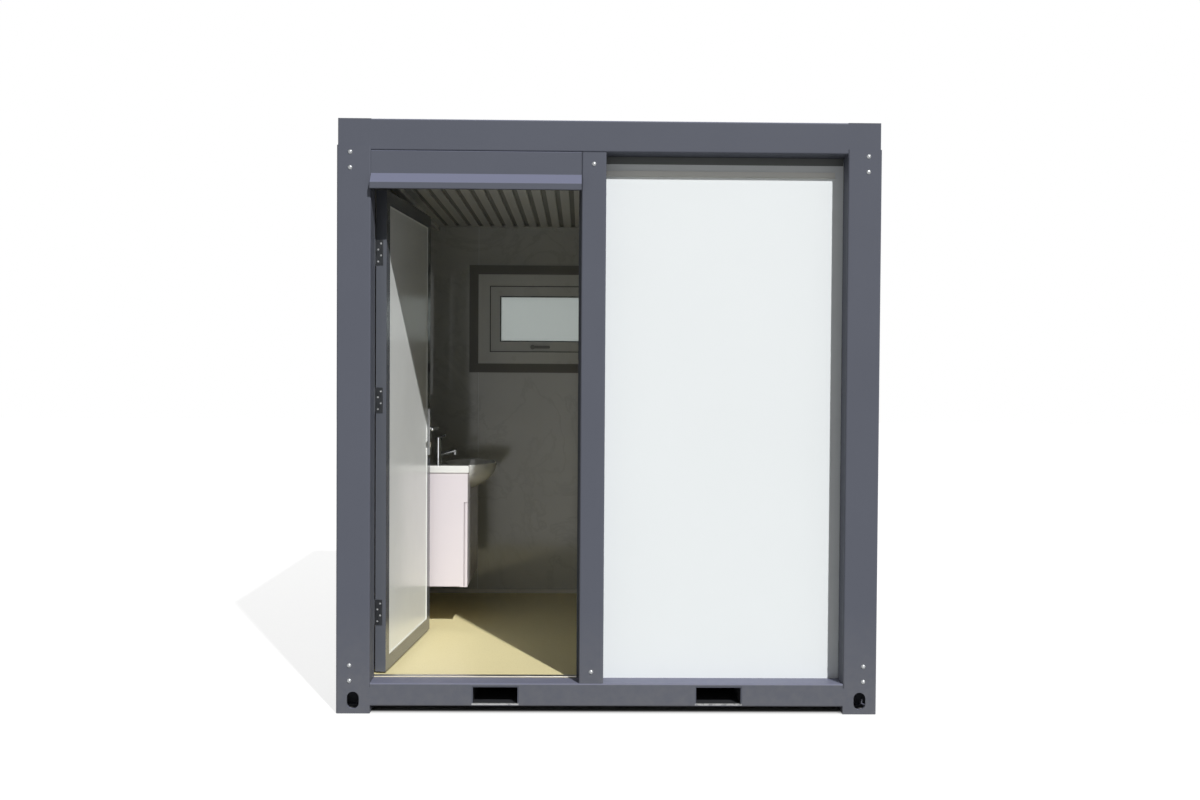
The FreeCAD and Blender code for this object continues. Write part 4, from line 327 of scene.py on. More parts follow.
def pocket_painted_light(looks):
    """Coated steel tube with painted light: painted shade within, frame paint on its ends, and a painted
    highlight on the front of the lower lips.
    """
    material, tree, shader, place = new_material("pocket_coat_painted_light")
    shader.inputs["Specular IOR Level"].default_value = 0.15
    low, high = extent("fork_pockets")
    split = add(tree, "ShaderNodeSeparateXYZ", {"Vector": place})
    reach = add(tree, "ShaderNodeMath", {0: split.outputs["Y"]}, operation="ABSOLUTE")
    # Painted highlight: the front of the lower lips, broken up by noise.
    lip = add(tree, "ShaderNodeMapRange", {"Value": reach.outputs[0], "From Min": high.y - LIP_LIGHT_DEPTH,
                                           "From Max": high.y - LIP_LIGHT_DEPTH / 2})
    foot = add(tree, "ShaderNodeMapRange", {"Value": split.outputs["Z"], "From Min": low.z + POCKET_WALL,
                                            "From Max": low.z + 2 * POCKET_WALL, "To Min": 1.0,
                                            "To Max": 0.0})
    mottle = add(tree, "ShaderNodeTexNoise", {"Vector": place, "Scale": scale_of(16),
                                             "Detail": 5.0}).outputs["Fac"]
    lip_break = add(tree, "ShaderNodeMapRange", {"Value": mottle, "From Min": 0.35, "From Max": 0.5, "To Min": 0.4})
    lit_lip = add(tree, "ShaderNodeMath", {0: lip.outputs["Result"], 1: foot.outputs["Result"]},
               operation="MULTIPLY")
    lit_lip = add(tree, "ShaderNodeMath", {0: lit_lip.outputs[0], 1: lip_break.outputs["Result"]}, operation="MULTIPLY")
    # Painted shade: inside faces take the dark colour, and the ends that face along Y take the frame paint.
    way = add(tree, "ShaderNodeTexCoord").outputs["Normal"]
    along = add(tree, "ShaderNodeSeparateXYZ", {"Vector": way}).outputs["Y"]
    end = add(tree, "ShaderNodeMath", {0: along}, operation="ABSOLUTE")
    tone = add(tree, "ShaderNodeMix", {"Factor": end.outputs[0], "A": rgba(looks.pocket_painted_shade),
                                       "B": rgba(looks.frame_paint)}, data_type="RGBA")
    tone = add(tree, "ShaderNodeMix", {"Factor": lit_lip.outputs[0], "A": tone.outputs["Result"],
                                       "B": rgba(looks.pocket_lip_highlight)}, data_type="RGBA")
    gloss = add(tree, "ShaderNodeMapRange", {"Value": mottle, "To Min": 0.5, "To Max": 0.7})
    join_up(tree, shader, tone.outputs["Result"], gloss.outputs["Result"], mottle, 0.2, 0.0006)
    return material


def worked_metal(name, code, roughness, grain_mm, stretch=(1, 1, 1)):
    """Bare or plated metal: its grain runs along one way and changes the gloss."""
    material, tree, shader, place = new_material(name)
    shader.inputs["Metallic"].default_value = 1.0
    lay = add(tree, "ShaderNodeMapping", {"Vector": place, "Scale": stretch})
    grain = add(tree, "ShaderNodeTexNoise", {"Vector": lay.outputs["Vector"], "Scale": scale_of(grain_mm),
                                             "Detail": 3.0}).outputs["Fac"]
    base = linear(code)
    tone = add(tree, "ShaderNodeMix", {"Factor": grain, "A": rgba(base, 0.86), "B": rgba(base, 1.08)},
               data_type="RGBA")
    gloss = add(tree, "ShaderNodeMapRange", {"Value": grain, "From Min": 0.25, "From Max": 0.75,
                                             "To Min": roughness * 0.75, "To Max": roughness * 1.3})
    join_up(tree, shader, tone.outputs["Result"], gloss.outputs["Result"], grain, 0.12, 0.0003)
    return material


def moulded(name, colour, roughness, tint=0.02, grain_mm=10, ior=1.46, coat=0.0):
    """Moulded plastic, laminate or glaze: even colour with faint clouds and a slight waviness."""
    material, tree, shader, place = new_material(name)
    shader.inputs["IOR"].default_value = ior
    shader.inputs["Coat Weight"].default_value = coat
    clouds = add(tree, "ShaderNodeTexNoise", {"Vector": place, "Scale": scale_of(120),
                                              "Detail": 3.0}).outputs["Fac"]
    tone = add(tree, "ShaderNodeMix", {"Factor": clouds, "A": rgba(colour, 1 - tint),
                                       "B": rgba(colour, 1 + tint)}, data_type="RGBA")
    gloss = add(tree, "ShaderNodeMapRange", {"Value": clouds, "To Min": roughness * 0.8,
                                             "To Max": roughness * 1.25})
    grain = add(tree, "ShaderNodeTexNoise", {"Vector": place, "Scale": scale_of(grain_mm)})
    join_up(tree, shader, tone.outputs["Result"], gloss.outputs["Result"], grain.outputs["Fac"], 0.05, 0.0005)
    return material


def stone_print_panel(looks):
    """Coated sandwich panel: white coat outside, and a foil with a pale stone print towards the room.

    The print has soft clouds and thin veins; both run over the panel at the size of real marble tiles.
    """
    material, tree, shader, place = new_material("stone_print_panel")
    split = add(tree, "ShaderNodeSeparateXYZ", {"Vector": place})
    reach = []
    for axis, edge in ROOM_REACH:
        size = add(tree, "ShaderNodeMath", {0: split.outputs[axis]}, operation="ABSOLUTE")
        near = add(tree, "ShaderNodeMath", {0: size.outputs[0], 1: edge}, operation="LESS_THAN")
        reach.append(near.outputs[0])
    inside = add(tree, "ShaderNodeMath", {0: reach[0], 1: reach[1]}, operation="MULTIPLY").outputs[0]
    warp = add(tree, "ShaderNodeTexNoise", {"Vector": place, "Scale": scale_of(420), "Detail": 5.0,
                                            "Roughness": 0.6, "Distortion": 0.8})
    ridge = add(tree, "ShaderNodeMath", {0: warp.outputs["Fac"], 1: 0.5}, operation="SUBTRACT")
    ridge = add(tree, "ShaderNodeMath", {0: ridge.outputs[0]}, operation="ABSOLUTE")
    vein = add(tree, "ShaderNodeMapRange", {"Value": ridge.outputs[0], "From Max": 0.028, "To Min": 0.6,
                                            "To Max": 0.0})
    cloud = add(tree, "ShaderNodeTexNoise", {"Vector": place, "Scale": scale_of(260),
                                             "Detail": 4.0}).outputs["Fac"]
    mark = add(tree, "ShaderNodeMath", {0: vein.outputs["Result"], 1: cloud}, operation="MULTIPLY")
    stone = add(tree, "ShaderNodeMix", {"Factor": cloud, "A": rgba(looks.print_ground, 0.9),
                                        "B": rgba(looks.print_ground)}, data_type="RGBA")
    foil = add(tree, "ShaderNodeMix", {"Factor": mark.outputs[0], "A": stone.outputs["Result"],
                                       "B": rgba(looks.print_vein)}, data_type="RGBA")
    film = add(tree, "ShaderNodeTexNoise", {"Vector": place, "Scale": scale_of(700), "Detail": 3.0})
    coat = add(tree, "ShaderNodeMix", {"Factor": film.outputs["Fac"], "A": rgba(looks.panel_white, 0.965),
                                       "B": rgba(looks.panel_white)}, data_type="RGBA")
    skin = add(tree, "ShaderNodeMix", {"Factor": inside, "A": coat.outputs["Result"],
                                       "B": foil.outputs["Result"]}, data_type="RGBA")
    gloss = add(tree, "ShaderNodeMapRange", {"Value": inside, "To Min": 0.5, "To Max": 0.1})
    peel = add(tree, "ShaderNodeTexNoise", {"Vector": place, "Scale": scale_of(6)})
    join_up(tree, shader, skin.outputs["Result"], gloss.outputs["Result"], peel.outputs["Fac"], 0.06, 0.0004)
    return material


def flecked_vinyl(looks):
    """Calendered vinyl sheet: a cream ground with small flecks and a fine grain against slipping."""
    material, tree, shader, place = new_material("flecked_vinyl")
    cells = add(tree, "ShaderNodeTexVoronoi", {"Vector": place, "Scale": scale_of(9)})
    fleck = add(tree, "ShaderNodeMapRange", {"Value": cells.outputs["Distance"], "From Min": 0.18,
                                             "From Max": 0.3, "To Min": 0.55, "To Max": 0.0})
    clouds = add(tree, "ShaderNodeTexNoise", {"Vector": place, "Scale": scale_of(350),
                                              "Detail": 4.0}).outputs["Fac"]
    ground = add(tree, "ShaderNodeMix", {"Factor": clouds, "A": rgba(looks.vinyl, 0.93),
                                         "B": rgba(looks.vinyl)}, data_type="RGBA")
    tone = add(tree, "ShaderNodeMix", {"Factor": fleck.outputs["Result"], "A": ground.outputs["Result"],
                                       "B": rgba(looks.vinyl_fleck)}, data_type="RGBA")
    gloss = add(tree, "ShaderNodeMapRange", {"Value": clouds, "To Min": 0.36, "To Max": 0.5})
    grain = add(tree, "ShaderNodeTexNoise", {"Vector": place, "Scale": scale_of(4)})
    join_up(tree, shader, tone.outputs["Result"], gloss.outputs["Result"], grain.outputs["Fac"], 0.1, 0.0005)
    return material


def plywood_board():
    """Birch plywood: long pale and darker bands of rotary-cut veneer, raw and matt."""
    material, tree, shader, place = new_material("plywood_board")
    shader.inputs["Roughness"].default_value = 0.75
    lay = add(tree, "ShaderNodeMapping", {"Vector": place, "Scale": (1.0, 0.08, 1.0)})
    bands = add(tree, "ShaderNodeTexNoise", {"Vector": lay.outputs["Vector"], "Scale": scale_of(35),
                                             "Detail": 6.0, "Distortion": 0.6}).outputs["Fac"]
    tone = add(tree, "ShaderNodeMix", {"Factor": bands, "A": rgba(linear("#8d6b43")),
                                       "B": rgba(linear("#c9a878"))}, data_type="RGBA")
    join_up(tree, shader, tone.outputs["Result"], None, bands, 0.1, 0.0005)
    return material


def frosted_pane():
    """Frosted double glazing: satin glass that lets light through and blurs what lies behind."""
    material, tree, shader, place = new_material("frosted_pane")
    shader.inputs["Transmission Weight"].default_value = 0.85
    shader.inputs["IOR"].default_value = 1.5
    frost = add(tree, "ShaderNodeTexNoise", {"Vector": place, "Scale": scale_of(3),
                                             "Detail": 3.0}).outputs["Fac"]
    tone = add(tree, "ShaderNodeMix", {"Factor": frost, "A": rgba(linear("#adb5b2")),
                                       "B": rgba(linear("#c5cbc8"))}, data_type="RGBA")
    gloss = add(tree, "ShaderNodeMapRange", {"Value": frost, "To Min": 0.55, "To Max": 0.75})
    join_up(tree, shader, tone.outputs["Result"], gloss.outputs["Result"], frost, 0.25, 0.0006)
    return material


def finish(material, *nodes):
    """Give CAD nodes a material."""
    for name in nodes:
        for slot in frame["nodes"][name].material_slots:
            slot.material = material


def deselect():
    """Clear the selection."""
    bpy.ops.object.select_all(action="DESELECT")


def pick(piece, test):
    """In edit mode, select only the edges that pass a test."""
    bpy.ops.mesh.select_mode(type="EDGE")
    bpy.ops.mesh.select_all(action="DESELECT")
    mesh = bmesh.from_edit_mesh(piece.data)
    for edge in mesh.edges:
        edge.select_set(test(edge))
    bmesh.update_edit_mesh(piece.data)


def on_top(edge, height):
    """Whether an edge lies at the top of a piece that stands on Z = 0."""
    return all(vert.co.z > height * TOP_SHARE for vert in edge.verts)


def soften_top(piece, height, width, segments=2):
    """Round the top edges of a piece that stands on Z = 0."""
    bpy.ops.object.mode_set(mode="EDIT")
    pick(piece, lambda edge: on_top(edge, height))
    bpy.ops.mesh.bevel(offset=width, segments=segments, affect="EDGES")
    bpy.ops.object.mode_set(mode="OBJECT")


def extent(name):
    """Lowest and highest corner of a CAD node."""
    return [Vector(corner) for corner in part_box(name)]


def facing(point, normal):
    """Matrix that takes the local +Z to a normal and the origin to a point."""
    turn = Vector((0, 0, 1)).rotation_difference(Vector(normal)).to_matrix().to_4x4()
    return Matrix.Translation(point) @ turn


def head(sides, radius, height, soft):
    """Round or hexagonal head that stands on Z = 0, with a softened top edge."""
    deselect()
    bpy.ops.mesh.primitive_cylinder_add(vertices=sides, radius=radius, depth=height,
                                        location=(0, 0, height / 2))
    piece = bpy.context.object
    bpy.ops.object.transform_apply()
    soften_top(piece, height, soft, segments=3)
    return piece


def block(size, centre, turn=0.0):
    """Block about a centre, turned about Z: a tool to cut or to build with."""
    deselect()
    bpy.ops.mesh.primitive_cube_add(size=1, location=centre, rotation=(0, 0, turn))
    piece = bpy.context.object
    piece.scale = size
    bpy.ops.object.transform_apply()
    return piece


def work(piece, tool, operation):
    """Cut a tool out of a piece, or unite the two."""
    modifier = piece.modifiers.new("work", "BOOLEAN")
    modifier.object = tool
    modifier.operation = operation
    modifier.solver = "EXACT"
    deselect()
    piece.select_set(True)
    bpy.context.view_layer.objects.active = piece
    bpy.ops.object.modifier_apply(modifier=modifier.name)
    bpy.data.objects.remove(tool)


def cross_head(radius, height):
    """Screw head that stands on Z = 0, with a cross recess."""
    screw = head(24, radius, height, soft=radius * 0.08)
    bar = (radius * 1.15, radius * 0.3, height)
    for turn in (0.0, math.pi / 2):
        work(screw, block(bar, (0, 0, height), turn), "DIFFERENCE")
    return screw


def ring(width, height, band, thick):
    """Rectangular ring on Z = 0, with a softened front."""
    deselect()
    bpy.ops.mesh.primitive_plane_add(size=1)
    piece = bpy.context.object
    bpy.ops.object.mode_set(mode="EDIT")
    bpy.ops.mesh.select_all(action="SELECT")
    bpy.ops.transform.resize(value=(width, height, 1))
    bpy.ops.mesh.inset(thickness=band)
    bpy.ops.mesh.delete(type="FACE")
    bpy.ops.mesh.select_all(action="SELECT")
    bpy.ops.mesh.extrude_region_move(TRANSFORM_OT_translate={"value": (0, 0, thick)})
    bpy.ops.mesh.select_all(action="SELECT")
    bpy.ops.mesh.normals_make_consistent(inside=False)
    pick(piece, lambda edge: on_top(edge, thick) and len(edge.link_faces) == 2
         and abs(edge.calc_face_angle(0)) > CORNER_ANGLE)
    bpy.ops.mesh.bevel(offset=thick * 0.3, segments=2, affect="EDGES")
    bpy.ops.object.mode_set(mode="OBJECT")
    return piece


def fit(pattern, places, name, material, body):
    """Copy a pattern to every place as one named piece, and give it its finish, body and slot."""
    deselect()
    made = []
    for place in places:
        piece = pattern.copy()
        piece.data = pattern.data.copy()
        bpy.context.collection.objects.link(piece)
        piece.matrix_world = place
        piece.select_set(True)
        made.append(piece)
    bpy.data.objects.remove(pattern)
    bpy.context.view_layer.objects.active = made[0]
    bpy.ops.object.transform_apply()
    if len(made) > 1:
        bpy.ops.object.join()
    piece = bpy.context.object
    piece.name = name
    piece.data.materials.clear()
    piece.data.materials.append(material)
    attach(piece, body)


class CONTAINER_OT_frame(bpy.types.Operator):
    """Paint the steel frame and plate its bolts"""

    bl_idname = "container.frame"
    bl_label = "Finish frame"

    def execute(self, context):
        looks = context.scene.container_looks
        paint = coated("frame_powder_coat", looks.frame_paint, patch_mm=380, patch=0.05, peel=0.12,
                       specular=0.15, sky_sheen=looks.frame_sky_sheen, dust=looks.frame_dust)
        finish(paint, "corner_castings", "floor_beams", "corner_posts", "roof_beams", "roof_corner_blocks",
               "mullion", "rain_hood")
        finish(pocket_painted_light(looks), "fork_pockets")
        finish(worked_metal("galvanised_steel", "#a9acae", 0.42, 14), "frame_joists")
        finish(worked_metal("zinc_plated_bolts", "#a8aaac", 0.34, 3), "frame_bolts")
        finish(coated("roof_coat", looks.roof_paint, patch_mm=500, patch=0.05, peel_mm=6, specular=0.15),
               "roof_sheet")
        return {"FINISHED"}


class CONTAINER_OT_roof_screws(bpy.types.Operator):
    """Hexagon screws with washers in the valleys of the roof sheet, over each joist"""

    bl_idname = "container.roof_screws"
    bl_label = "Add roof screws"

    def execute(self, context):
        sizes = context.scene.container_sizes
        pattern = head(24, sizes.washer_radius, WASHER_HEIGHT, soft=0.0006)
        work(pattern, head(6, sizes.roof_screw_radius, ROOF_SCREW_HEIGHT, soft=0.0008), "UNION")
        low = extent("roof_sheet")[0].z + ROOF_SHEET_THICK
        steps = range(-ROOF_VALLEYS, ROOF_VALLEYS + 1)
        valleys = [ROOF_RIB_PITCH * step for step in steps] + [-ROOF_EDGE_VALLEY, ROOF_EDGE_VALLEY]
        pitch = ROOM_DEPTH / (ROOF_JOISTS + 1)
        joists = [-ROOM_DEPTH / 2 + pitch * step for step in range(1, ROOF_JOISTS + 1)]
        places = [facing((x, y, low), (0, 0, 1)) for x in valleys for y in joists]
        plating = worked_metal("zinc_plated_roof_screws", "#b9bcbe", 0.35, 3)
        fit(pattern, places, "roof_screws", plating, "container")
        return {"FINISHED"}


class CONTAINER_OT_walls(bpy.types.Operator):
    """Finish wall panels, channels, ceiling, floor and skirting"""

    bl_idname = "container.walls"
    bl_label = "Finish walls and floor"

    def execute(self, context):
        looks = context.scene.container_looks
        finish(stone_print_panel(looks), "front_wall_panels", "side_wall_panels", "rear_wall_panel")
        finish(coated("channel_coat", looks.channel_paint, patch_mm=200, patch=0.06), "wall_top_channels")
        finish(coated("strip_coat", looks.strip_white, 0.4, patch=0.03, peel=0.06), "ceiling_slats",
               "ceiling_trim")
        finish(flecked_vinyl(looks), "floor_vinyl")
        finish(plywood_board(), "floor_board")
        finish(moulded("skirting_pvc", linear("#d9d8d0"), 0.4, tint=0.03, grain_mm=8), "skirting")
        return {"FINISHED"}


class CONTAINER_OT_ceiling_gap_strips(bpy.types.Operator):
    """Flat strips that lie on the ceiling strips' rims and close the gaps between them"""

    bl_idname = "container.ceiling_gap_strips"
    bl_label = "Add ceiling gap strips"

    def execute(self, context):
        sizes = context.scene.container_sizes
        low, high = extent("ceiling_slats")
        count = round((high.x - low.x - sizes.slat_width) / sizes.slat_pitch)
        width = sizes.slat_pitch - sizes.slat_width + 2 * sizes.gap_strip_lap
        thick = sizes.gap_strip_height
        strip = block((width, high.y - low.y, thick), (0, 0, thick / 2))
        soften_top(strip, thick, thick * 0.4)
        first = low.x + (sizes.slat_width + sizes.slat_pitch) / 2
        places = [Matrix.Translation((first + sizes.slat_pitch * index, 0, high.z)) for index in range(count)]
        # The gap strips close real gaps. Their grey is darker than the ceiling strips, as painted shade in
        # the grooves.
        coat = coated("gap_strip_shade_coat", context.scene.container_looks.gap_shade_grey, peel=0.06)
        fit(strip, places, "ceiling_gap_strips", coat, "container")
        return {"FINISHED"}


class CONTAINER_OT_ceiling_cove(bpy.types.Operator):
    """Thin cover strip along the walls, under the ceiling's edge trim"""

    bl_idname = "container.ceiling_cove"
    bl_label = "Add ceiling cove"

    def execute(self, context):
        sizes = context.scene.container_sizes
        low, high = extent("ceiling_trim")
        cove = ring(high.x - low.x, high.y - low.y, sizes.cove_thick, sizes.cove_height)
        place = facing(((low.x + high.x) / 2, (low.y + high.y) / 2, low.z), (0, 0, -1))
        # Painted highlight: the cove is coloured lighter than the ceiling strips to stand for its lit lower
        # lip.
        coat = coated("cove_highlight_coat", linear("#e6e6e1"), 0.4, patch=0.03, peel=0.06)
        fit(cove, [place], "ceiling_cove", coat, "container")
        return {"FINISHED"}


class CONTAINER_OT_threshold_strip(bpy.types.Operator):
    """Aluminium strip over the floor sheet's edge in the doorway"""

    bl_idname = "container.threshold_strip"
    bl_label = "Add threshold strip"

    def execute(self, context):
        sizes = context.scene.container_sizes
        low, high = extent("floor_vinyl")
        depth = sizes.threshold_depth
        thick = sizes.threshold_height
        strip = block((sizes.threshold_length, depth, thick), (0, 0, thick / 2))
        soften_top(strip, thick, thick * 0.8)
        place = Matrix.Translation((LEAF_MIDDLE[0], low.y + depth / 2, high.z))
        metal = worked_metal("brushed_aluminium", "#d2d0cc", 0.35, 2, stretch=(0.05, 1, 1))
        fit(strip, [place], "threshold_strip", metal, "container")
        return {"FINISHED"}


class CONTAINER_OT_door(bpy.types.Operator):
    """Finish the door with its frame, hinges, lock and levers"""

    bl_idname = "container.door"
    bl_label = "Finish door"

    def execute(self, context):
        looks = context.scene.container_looks
        finish(coated("door_frame_coat", looks.door_paint, patch_mm=260, specular=0.15), "door_frame")
        finish(coated("leaf_frame_gloss_coat", looks.door_paint, 0.16, patch_mm=260, peel=0.04, specular=0.5),
               "door_leaf_frame")
        finish(coated("leaf_panel_gloss_coat", looks.door_white, 0.22, patch_mm=400, patch=0.03, peel=0.03,
                      specular=0.35), "door_leaf_panel")
        finish(worked_metal("blued_hinge_steel", "#55575a", 0.45, 2.5, stretch=(1, 1, 0.08)),
               "hinge_frame_plates", "hinge_leaf_plates", "hinge_pins")
        finish(worked_metal("brushed_stainless_steel", "#b9bbbb", 0.3, 2.5, stretch=(1, 1, 0.08)),
               "door_lock", "door_levers", "lock_bolt")
        return {"FINISHED"}


class CONTAINER_OT_hinge_screws(bpy.types.Operator):
    """Countersunk screws with a cross recess in the leaf's and the frame's hinge plates"""

    bl_idname = "container.hinge_screws"
    bl_label = "Add hinge screws"

    def execute(self, context):
        sizes = context.scene.container_sizes
        middle = (HINGE_SCREWS - 1) / 2
        spots = [(HINGE_SCREW_ROWS[index % 2], height + (index - middle) * HINGE_SCREW_PITCH)
                 for height in HINGE_HEIGHTS for index in range(HINGE_SCREWS)]
        sunk = sizes.screw_height + HINGE_SCREW_SINK
        plating = worked_metal("zinc_plated_hinge_screws", "#eef0f0", 0.42, 2)
        leaf = [LEAF_TURN @ facing((LEAF_HINGE_FACE + sunk, y, z), (-1, 0, 0)) for y, z in spots]
        jamb = [facing((FRAME_HINGE_FACE - sunk, y, z), (1, 0, 0)) for y, z in spots]
        screw = cross_head(sizes.screw_radius, sizes.screw_height)
        fit(screw, leaf, "leaf_hinge_screws", plating, "door")
        screw = cross_head(sizes.screw_radius, sizes.screw_height)
        fit(screw, jamb, "frame_hinge_screws", plating, "container")
        return {"FINISHED"}


class CONTAINER_OT_leaf_beads(bpy.types.Operator):
    """Thin white bead that covers the joint round the leaf's panel, on both faces"""

    bl_idname = "container.leaf_beads"
    bl_label = "Add leaf beads"

    def execute(self, context):
        sizes = context.scene.container_sizes
        x, z = LEAF_MIDDLE
        pattern = ring(*LEAF_PANEL_SIZE, sizes.bead_width, sizes.bead_height)
        places = [LEAF_TURN @ facing((x, LEAF_PANEL_OUTSIDE, z), (0, -1, 0)),
                  LEAF_TURN @ facing((x, LEAF_PANEL_INSIDE, z), (0, 1, 0))]
        plastic = moulded("bead_pvc", linear("#e9ebe8"), 0.35, grain_mm=6)
        fit(pattern, places, "leaf_beads", plastic, "door")
        return {"FINISHED"}


class CONTAINER_OT_key_cylinders(bpy.types.Operator):
    """Key cylinder in each lock plate, and the inner plate's two screws"""

    bl_idname = "container.key_cylinders"
    bl_label = "Add key cylinders"

    def execute(self, context):
        radius = context.scene.container_sizes.key_radius
        key = head(32, radius, KEY_HEAD_HEIGHT, soft=0.0004)
        foot = block((radius * 1.2, radius * 2, KEY_FOOT_HEIGHT), (0, -radius * 1.6, KEY_FOOT_HEIGHT / 2))
        work(key, foot, "UNION")
        slot = block((radius * 0.2, radius * 1.1, 2 * KEY_SLOT_DEPTH), (0, 0, KEY_HEAD_HEIGHT))
        work(key, slot, "DIFFERENCE")
        outward = facing((0, 0, 0), (0, -1, 0))
        inward = Matrix.Rotation(math.pi, 4, "Z") @ outward
        places = [LEAF_TURN @ Matrix.Translation((LOCK_X, LOCK_OUTSIDE, KEY_Z)) @ outward,
                  LEAF_TURN @ Matrix.Translation((LOCK_X, LOCK_INSIDE, KEY_Z)) @ inward]
        plating = worked_metal("nickel_plated_brass", "#c8c3b4", 0.22, 1.5)
        fit(key, places, "key_cylinders", plating, "door")
        screw = cross_head(LOCK_SCREW_RADIUS, LOCK_SCREW_HEIGHT)
        places = [LEAF_TURN @ facing((LOCK_X, LOCK_INSIDE, z), (0, 1, 0)) for z in LOCK_SCREW_HEIGHTS]
        steel = worked_metal("stainless_plate_screws", "#c9cbcb", 0.25, 2)
        fit(screw, places, "lock_plate_screws", steel, "door")
        return {"FINISHED"}


class CONTAINER_OT_window(bpy.types.Operator):
    """Finish the window"""

    bl_idname = "container.window"
    bl_label = "Finish window"

    def execute(self, context):
        white = context.scene.container_looks.window_white
        finish(coated("surround_coat", linear("#7c7b76"), patch_mm=200, patch=0.06), "window_surround")
        finish(moulded("window_pvc", white, 0.28), "window_frame", "window_sash")
        finish(coated("handle_coat", linear("#8e8f8c"), 0.4, patch_mm=60, peel_mm=4, peel=0.08),
               "window_handle")
        finish(frosted_pane(), "window_pane")
        return {"FINISHED"}


class CONTAINER_OT_window_gaskets(bpy.types.Operator):
    """Gasket round the pane on both faces, and the seal on the frame's stop"""

    bl_idname = "container.window_gaskets"
    bl_label = "Add window gaskets"

    def execute(self, context):
        sizes = context.scene.container_sizes
        low, high = extent("window_pane")
        middle = (low + high) / 2
        pattern = ring(high.x - low.x, high.z - low.z, sizes.gasket_width, sizes.gasket_height)
        places = [facing((middle.x, low.y, middle.z), (0, -1, 0)),
                  facing((middle.x, high.y, middle.z), (0, 1, 0))]
        rubber = moulded("grey_gasket_rubber", linear("#6f7170"), 0.7, tint=0.05, grain_mm=3)
        fit(pattern, places, "pane_gaskets", rubber, "sash")
        low, high = extent("window_frame")
        middle = (low + high) / 2
        width = high.x - low.x - 2 * sizes.stop_reach
        height = high.z - low.z - 2 * sizes.stop_reach
        pattern = ring(width, height, sizes.seal_width, sizes.seal_height)
        place = facing((middle.x, low.y + sizes.seal_depth, middle.z), (0, -1, 0))
        rubber = moulded("dark_seal_rubber", linear("#2f302f"), 0.75, tint=0.05, grain_mm=3)
        fit(pattern, [place], "sash_seal", rubber, "container")
        return {"FINISHED"}


class CONTAINER_OT_fittings(bpy.types.Operator):
    """Finish basin unit, toilet, shower, lamp, switch and pipes"""

    bl_idname = "container.fittings"
    bl_label = "Finish fittings"

    def execute(self, context):
        looks = context.scene.container_looks
        finish(moulded("cabinet_laminate", looks.cabinet, 0.22, grain_mm=14, coat=0.3), "vanity_cabinet",
               "vanity_door_near", "vanity_door_far", "mirror_cabinet")
        finish(moulded("white_glaze", looks.glaze, 0.09, tint=0.015, grain_mm=30, ior=1.52, coat=0.5),
               "basin", "toilet", "cistern_lid")
        finish(moulded("seat_plastic", linear("#f0f0ec"), 0.2, tint=0.01, grain_mm=20), "toilet_seat",
               "toilet_lid")
        finish(moulded("switch_plastic", linear("#ecece6"), 0.3, tint=0.01, grain_mm=12), "switch_plate",
               "switch_rocker")
        finish(worked_metal("polished_chrome", "#e3e5e7", 0.07, 40), "basin_trap", "basin_mixer",
               "basin_mixer_dome", "basin_mixer_lever", "flush_button", "shower_mixer", "shower_flow_knob",
               "shower_temperature_knob", "shower_riser", "shower_head")
        finish(worked_metal("silvered_mirror", "#eef1f2", 0.025, 400), "mirror_door")
        finish(worked_metal("brushed_drain_steel", "#c2c4c4", 0.3, 2, stretch=(1, 0.06, 1)), "floor_drain")
        finish(moulded("opal_lamp", linear("#f2f1ea"), 0.45), "ceiling_lamp")
        finish(moulded("pipe_plastic", linear("#8b8e90"), 0.45, tint=0.05, grain_mm=6), "waste_outlet")
        finish(worked_metal("bare_brass", "#c9a45c", 0.3, 6), "water_inlet")
        return {"FINISHED"}


class CONTAINER_OT_shower_nozzles(bpy.types.Operator):
    """Soft nozzles in rings under the shower rose"""

    bl_idname = "container.shower_nozzles"
    bl_label = "Add shower nozzles"

    def execute(self, context):
        sizes = context.scene.container_sizes
        low, high = extent("shower_head")
        middle = (low + high) / 2
        step = (high.x - low.x) / 2 * NOZZLE_SPREAD / sizes.nozzle_rings
        spots = [(0.0, 0.0)]
        for index in range(1, sizes.nozzle_rings + 1):
            count = RING_STEP * index
            spots += [(step * index, math.tau * spot / count) for spot in range(count)]
        places = [facing((middle.x + reach * math.cos(angle), middle.y + reach * math.sin(angle), low.z),
                         (0, 0, -1)) for reach, angle in spots]
        pattern = head(10, sizes.nozzle_radius, NOZZLE_HEIGHT, soft=0.0009)
        rubber = moulded("grey_nozzle_silicone", linear("#7d8082"), 0.6, tint=0.04, grain_mm=3)
        fit(pattern, places, "shower_nozzles", rubber, "container")
        return {"FINISHED"}


class CONTAINER_OT_basin_plug(bpy.types.Operator):
    """Domed plug over the basin's waste"""

    bl_idname = "container.basin_plug"
    bl_label = "Add basin plug"

    def execute(self, context):
        low, high = extent("basin_trap")
        plug = head(48, context.scene.container_sizes.plug_radius, PLUG_HEIGHT, soft=0.003)
        place = facing((high.x - TRAP_RADIUS, (low.y + high.y) / 2, high.z), (0, 0, 1))
        plating = worked_metal("chromed_plug", "#dfe1e3", 0.1, 30)
        fit(plug, [place], "basin_plug", plating, "container")
        return {"FINISHED"}


def seen_ray(tree):
    """1 for the rays that see the background itself: camera, mirror and glass rays."""
    ray = add(tree, "ShaderNodeLightPath")
    seen = add(tree, "ShaderNodeMath", {0: ray.outputs["Is Camera Ray"], 1: ray.outputs["Is Glossy Ray"]},
               operation="MAXIMUM")
    seen = add(tree, "ShaderNodeMath", {0: seen.outputs[0], 1: ray.outputs["Is Transmission Ray"]},
               operation="MAXIMUM")
    return seen.outputs[0]


